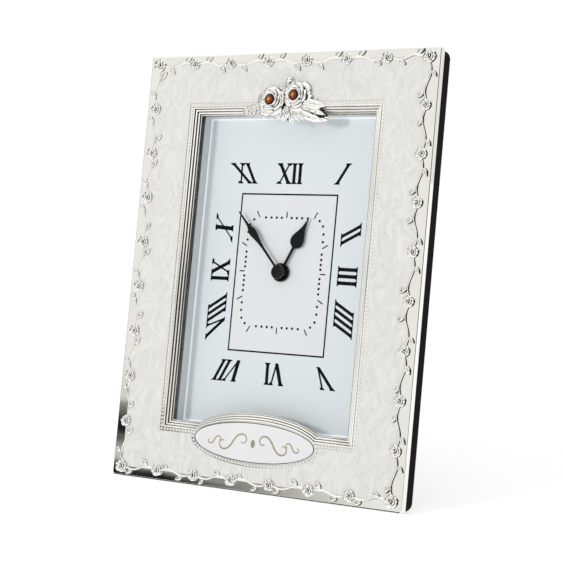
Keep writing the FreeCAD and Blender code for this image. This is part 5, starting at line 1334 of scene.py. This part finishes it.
# %% [markdown]
# ## Minute track
# Sixty marks lie where rays six degrees apart meet a rounded rectangle. Every fifth is a
# dash that points away from the centre, the others are dots. The dots are set by the same
# tree as the roses.

# %% Dots and dashes
TRACK_HALF_W, TRACK_HALF_H, TRACK_CORNER = 20.0, 25.0, 6.0
DASH, DASH_WIDTH, DOT_RADIUS = 2.8, 0.55, 0.6


def track_point(angle):
    """Where a ray, clockwise from the top, meets the rounded rectangle."""
    dx, dz = math.sin(angle), math.cos(angle)
    reach = min(TRACK_HALF_W / max(abs(dx), 1e-9), TRACK_HALF_H / max(abs(dz), 1e-9))
    cx, cz = TRACK_HALF_W - TRACK_CORNER, TRACK_HALF_H - TRACK_CORNER
    if abs(dx) * reach > cx and abs(dz) * reach > cz:
        near = abs(dx) * cx + abs(dz) * cz
        reach = near + math.sqrt(max(0, near * near - cx * cx - cz * cz + TRACK_CORNER ** 2))
    return dx * reach, dz * reach


dots, points, faces = [], [], []
for minute in range(60):
    angle = 2 * math.pi * minute / 60
    x, z = track_point(angle)
    if minute % 5:
        dots.append((x, PRINT_Y, MIDDLE + z, 0.0, 1.0))
        continue
    dx, dz = math.sin(angle), math.cos(angle)
    reach = DASH * min(1 / max(abs(dx), abs(dz)), 1.16)
    start = len(points)
    for far, side in ((0, -1), (0, 1), (reach, 1), (reach, -1)):
        half = side * DASH_WIDTH / 2
        points.append((x + dx * far + dz * half, PRINT_Y, MIDDLE + z + dz * far - dx * half))
    faces.append(tuple(range(start, start + 4)))
dot = upright("dot", circle(DOT_RADIUS, 0, 12), [tuple(range(12))])
finish(scatter("minute_dots", dot, dots, print_black), "frame")
finish(upright("hour_dashes", points, faces, print_black, soft=False), "frame")

# %% [markdown]
# ## Hands
# Both hands are cut from thin plate with a narrow bevel, so each is a row of flat sections
# with the width of the hand at that place. The hour hand swells to a round drop and draws
# out to a point, and the minute hand has a slim leaf. A ring joins each to its pipe. The
# round cap's edge is given a lighter grey as a painted highlight, which shows as a thin pale
# crescent.

# %% Widths of the hands
HOUR_TURN, MINUTE_TURN = math.radians(26.5), math.radians(318)
BEVEL = 0.12
HOUR_WIDTHS = ((3.2, 0.65), (9.0, 0.6), (12.6, 0.62), (13.1, 1.5), (14.0, 2.7), (15.2, 3.3),
               (16.3, 3.42), (17.6, 3.2), (19.2, 2.5), (21.0, 1.65), (23.0, 0.95), (25.4, 0.5),
               (27.8, 0.14))
MINUTE_WIDTHS = ((2.5, 0.5), (15.0, 0.6), (18.5, 0.95), (21.5, 1.5), (23.3, 1.85),
                 (24.6, 1.8), (26.2, 1.3), (28.0, 0.7), (30.5, 0.5), (34.5, 0.38),
                 (36.3, 0.22))

# %% Blades, rings and cap
def hand_blade(name, widths, turn, front, back):
    """Closed blade of a hand, pointing clockwise from the top by turn."""
    rings = []
    for far, half in widths:
        cut = min(BEVEL, half * 0.4)
        ring = []
        for side, y in ((-half, back), (-half, front + cut), (cut - half, front),
                        (half - cut, front), (half, front + cut), (half, back)):
            ring.append((far * math.sin(turn) + side * math.cos(turn), y,
                         MIDDLE + far * math.cos(turn) - side * math.sin(turn)))
        rings.append(ring)
    points, faces = loft(rings)
    faces += [tuple(range(6)), tuple(range(len(points) - 6, len(points)))]
    return face_outwards(upright(name, points, faces, lacquer, soft=False))


# hand: widths, turn, front, back, inner and outer radius of its ring
HANDS = {"hour": (HOUR_WIDTHS, HOUR_TURN, 9.4, 9.8, 2.9, 4.25),
         "minute": (MINUTE_WIDTHS, MINUTE_TURN, 8.1, 8.5, 1.6, 3.3)}
RING_EDGE = {"hour": 4.1, "minute": 3.2}
for hand, (widths, turn, front, back, inner, outer) in HANDS.items():
    blade = hand_blade("blade", widths, turn, front, back)
    ring = turned("ring", ((inner, front), (RING_EDGE[hand], front), (outer, front + 0.1),
                           (outer, back), (inner, back)), lacquer)
    finish(join(hand + "_pointer", [blade, ring]), hand, [hand + "_hand"])

# (radius, y) round the cap, and the radius and y beyond which its edge carries a painted
# highlight
CAP = ((0.01, 7.0), (2.0, 7.0), (2.3, 6.8), (2.7, 6.72), (3.05, 6.8), (3.3, 7.05),
       (3.35, 7.4), (3.35, 8.08), (0.01, 8.08))
GLINT_RADIUS, GLINT_BACK = 3.1, 7.0
cap = turned("pointer_cap", CAP, lacquer)
# the lighter grey on the edge of the cap is a painted highlight
cap.data.materials.append(dark_tarnish)
for face in cap.data.polygons:
    on_glint = math.hypot(face.center.x, face.center.z - MIDDLE) > GLINT_RADIUS
    face.material_index = int(on_glint and face.center.y < GLINT_BACK)
finish(cap, "minute", ["hand_cap"])

# %% [markdown]
# ## Details on the back
# The setting knob gets flutes for the finger. A curved arrow beside it and the two signs
# of the battery bay are moulded on the case, a fifth of a millimetre proud. Their places
# come from the CAD boxes, read back into the upright frame.

# %% Where the knob and the case are
UNLEAN = STAND.inverted()


def upright_box(node):
    """Corners of a CAD node in upright millimetres."""
    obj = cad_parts[node]
    points = [UNLEAN @ (obj.matrix_world @ v.co) for v in obj.data.vertices]
    return (Vector([min(p[i] for p in points) for i in range(3)]),
            Vector([max(p[i] for p in points) for i in range(3)]))


knob_low, knob_high = upright_box("set_knob")
case_low, case_high = upright_box("movement_case_back")
knob_x, knob_z = (knob_low.x + knob_high.x) / 2, (knob_low.z + knob_high.z) / 2
knob_r = (knob_high.x - knob_low.x) / 2
print("knob", [round(v, 2) for v in (knob_x, knob_z, knob_r, knob_low.y, knob_high.y)],
      "case", [round(v, 2) for v in (*case_low, *case_high)])

# %% Fluted knob
FLUTES, FLUTE_DEPTH = 18, 0.28


def fluted_ring(radius, y, depth):
    """Ring round the knob with six points to each flute."""
    ring = []
    for i in range(FLUTES * 6):
        turn = 2 * math.pi * i / (FLUTES * 6)
        reach = radius - depth * (1 + math.cos(FLUTES * turn)) / 2
        ring.append((reach * math.cos(turn) + knob_x, y, reach * math.sin(turn) + knob_z))
    return ring


top = knob_high.y
knob_rings = [fluted_ring(*ring) for ring in (
    (2.0, knob_low.y, 0), (knob_r, knob_low.y, FLUTE_DEPTH), (knob_r, top - 0.5, FLUTE_DEPTH),
    (knob_r - 0.5, top, 0.1), (knob_r - 1.1, top, 0), (knob_r - 1.4, top - 0.5, 0),
    (0.4, top - 0.5, 0))]
points, faces = loft(knob_rings)
last = len(points) - FLUTES * 6
faces += [tuple(range(last, len(points)))]
knob_rim = face_outwards(upright("fluted_knob", points, faces, black_plastic, soft=False))

# %% Arrow and battery signs
def on_knob(reach, turn):
    """Place (x, z) at a distance from the middle of the knob."""
    return (knob_x + reach * math.cos(turn), knob_z + reach * math.sin(turn))


def raised(name, outline, y, height):
    """Flat shape with sides, standing on the back of the case; outline in (x, z)."""
    count = len(outline)
    points = [(x, y - 0.05, z) for x, z in outline] + [(x, y + height, z) for x, z in outline]
    faces = [tuple(range(count)), tuple(range(count, 2 * count))]
    faces += [(i, (i + 1) % count, count + (i + 1) % count, count + i) for i in range(count)]
    return face_outwards(upright(name, points, faces, black_plastic, soft=False))


ARROW_R, ARROW_WIDTH, RAISE = knob_r + 1.5, 0.45, 0.2
arc = [math.radians(a) for a in range(20, 150, 10)]
outline = [on_knob(ARROW_R + ARROW_WIDTH, a) for a in arc]
outline += [on_knob(ARROW_R, a) for a in reversed(arc)]
middle = ARROW_R + ARROW_WIDTH / 2
head = [on_knob(middle, math.radians(160))]
head += [on_knob(middle + side, arc[-1]) for side in (-0.9, 0.9)]
case_back = case_high.y
marks = [raised("arc", outline, case_back, RAISE), raised("head", head, case_back, RAISE)]
sign_z = knob_z - 12.5


SIGN_INSET, SIGN_LONG, SIGN_THICK = 6.0, 1.2, 0.22
plus_x, minus_x = case_high.x - SIGN_INSET, case_low.x + SIGN_INSET
for x, wide, tall in ((plus_x, SIGN_LONG, SIGN_THICK), (plus_x, SIGN_THICK, SIGN_LONG),
                      (minus_x, SIGN_LONG, SIGN_THICK)):
    sign = [(x - wide, sign_z - tall), (x + wide, sign_z - tall), (x + wide, sign_z + tall),
            (x - wide, sign_z + tall)]
    marks.append(raised("sign", sign, case_back, RAISE))
finish(join("case_marks", marks), "frame")
finish(knob_rim, "setting_knob", ["set_knob"])

# %% [markdown]
# ## Floor, light and camera
# The clock stands on a plain white floor. Silver looks like silver only by what it mirrors,
# so mirrors see a room of their own: nearly white, with three dark bands and one bright
# box. The band low on the left gives the dark reflection at the photograph's lower left,
# and thin streaks break it up. The others grade the right side and the left edge. The
# camera sees plain white, and soft light comes from a dimmer one. A lamp from the upper
# left gives the shadows a direction. It is hidden from mirrors, and from rays that have
# come through the glass, because those few bright finds would speckle the dial.

# %% Floor
FLOOR_HALF, FLOOR_LIT, FLOOR_SEEN = 6.0, 0.3, 0.62


def make_floor():
    """White that the camera and mirrors see bright, while it lights the clock less."""
    material, tree, shader = new_material("floor_white")
    path = tree.nodes.new("ShaderNodeLightPath").outputs
    seen = largest(tree, path["Is Camera Ray"], path["Is Glossy Ray"],
                   path["Is Transmission Ray"])
    give(tree, shader, Base_Color=(0.8, 0.8, 0.8, 1), Roughness=1.0, Specular_IOR_Level=0.0,
         Emission_Color=(1, 1, 1, 1),
         Emission_Strength=ranged(tree, seen, FLOOR_LIT, FLOOR_SEEN, 0, 1))
    return material


corners = [(x * FLOOR_HALF, y * FLOOR_HALF, 0) for x, y in ((-1, -1), (1, -1), (1, 1), (-1, 1))]
floor = upright("floor", corners, [(0, 1, 2, 3)], make_floor(), soft=False)
print("floor", 2 * FLOOR_HALF, "m wide")

# %% World
# direction, where a band begins and is full, height where it is full and where it ends
DARK_BANDS = (((-0.766, -0.643, 0), 0.922, 0.962, 0.105, 0.14),
              ((0.96, -0.26, 0.1), 0.72, 0.90, 0.42, 0.6),
              ((-0.93, 0.10, 0.35), 0.86, 0.95, 0.7, 0.85))
BRIGHT_BOX = ((-0.30, -0.50, 0.81), 0.90, 0.94)
BOX_LIGHT, BAND_DARK, WHITE = (1.3, 1.3, 1.3, 1), (0.012, 0.013, 0.013, 1), (1, 1, 1, 1)
SOFT_LIGHT, STREAKS_UP = 0.52, 7.5
# height from -1 at the floor to 1 overhead, as a share, and the colour there
ROOM_WALLS = ((0.0, (232, 232, 228)), (0.50, (236, 235, 230)), (0.68, (240, 240, 236)),
              (0.80, (244, 244, 241)), (1.0, (250, 250, 248)))


def make_world():
    """World that shows mirrors a room, the camera plain white, and lights the rest softly."""
    world = bpy.data.worlds.new("studio")
    bpy.context.scene.world = world
    world.use_nodes = True
    tree = world.node_tree
    tree.nodes.remove(tree.nodes["Background"])
    way = tree.nodes.new("ShaderNodeTexCoord").outputs["Generated"]
    height = add(tree, "ShaderNodeSeparateXYZ", way).outputs["Z"]

    def towards(direction, wide, narrow):
        """One close to a direction, and nothing further away."""
        aim = add(tree, "ShaderNodeVectorMath", way, direction,
                  options={"operation": "DOT_PRODUCT"})
        return ranged(tree, aim.outputs["Value"], 0, 1, wide, narrow)

    bands = [calculate(tree, "MULTIPLY", towards(direction, wide, narrow),
                       ranged(tree, height, 0, 1, high, low))
             for direction, wide, narrow, low, high in DARK_BANDS]
    # flat streaks of noise lighten the first band
    stretched = add(tree, "ShaderNodeMapping", Vector=way, Location=(0, 0, STREAKS_UP),
                    Scale=(9.0, 9.0, 120.0))
    streaks = add(tree, "ShaderNodeTexNoise", Vector=stretched.outputs["Vector"], Scale=1.0)
    bands[0] = calculate(tree, "MULTIPLY", bands[0],
                         ranged(tree, streaks.outputs["Fac"], 1.0, 0.3, 0.46, 0.62))
    walls = ramp_of(tree, ranged(tree, height, 0, 1, -1, 1), [
        (position, srgb(*colour)) for position, colour in ROOM_WALLS])
    room = mixed(tree, towards(*BRIGHT_BOX), walls, BOX_LIGHT)
    room = mixed(tree, largest(tree, *bands), room, BAND_DARK)
    soft, mirrored, plain = [
        add(tree, "ShaderNodeBackground", Color=colour, Strength=strength).outputs[0]
        for colour, strength in ((WHITE, SOFT_LIGHT), (room, 1.0), (WHITE, 1.0))]
    path = tree.nodes.new("ShaderNodeLightPath").outputs
    lit = add(tree, "ShaderNodeMixShader", path["Is Glossy Ray"], soft, mirrored)
    seen = largest(tree, path["Is Camera Ray"], path["Is Transmission Ray"])
    final = add(tree, "ShaderNodeMixShader", seen, lit.outputs["Shader"], plain)
    give(tree, tree.nodes["World Output"], Surface=final.outputs["Shader"])


make_world()
print("dark bands", len(DARK_BANDS))

# %% Lamp
lamp_data = bpy.data.lights.new("soft_lamp", "AREA")
lamp_data.shape = "SQUARE"
lamp_data.size = 0.4
lamp_data.energy = 10.5
lamp = place_object("soft_lamp", lamp_data)
lamp.location = (-0.75, -1.75, 0.5)
lamp.visible_glossy = False
lamp.visible_transmission = False
aim = Vector((0, 0, 0.1)) - lamp.location
lamp.rotation_euler = aim.to_track_quat("-Z", "Y").to_euler()
print("lamp", lamp_data.energy, "W at", round(aim.length, 2), "m")

# %% [markdown]
# ## Camera
# The corners of the frame and of the printed box, measured in the photograph, give one
# place, direction and lens that puts them all where they are there, within two pixels.

# %% Camera
CAMERA_AT = Vector((0.365159, -0.588462, 0.151292))
CAMERA_RIGHT = Vector((0.850176, 0.526498, 0.0))
CAMERA_AHEAD = Vector((-0.524638, 0.847173, -0.083977))
camera_data = bpy.data.cameras.new("camera")
camera_data.sensor_width = 36.0
camera_data.lens = 98.33
camera = place_object("camera", camera_data)
up = CAMERA_RIGHT.cross(CAMERA_AHEAD)
camera.matrix_world = Matrix.Translation(CAMERA_AT) @ Matrix(
    (CAMERA_RIGHT, up, -CAMERA_AHEAD)).transposed().to_4x4()
camera_data.clip_start = 0.01
bpy.context.scene.camera = camera
bpy.context.scene.view_settings.view_transform = "Standard"
print("lens", camera_data.lens, "mm,", round(CAMERA_AT.length, 2), "m from the clock")
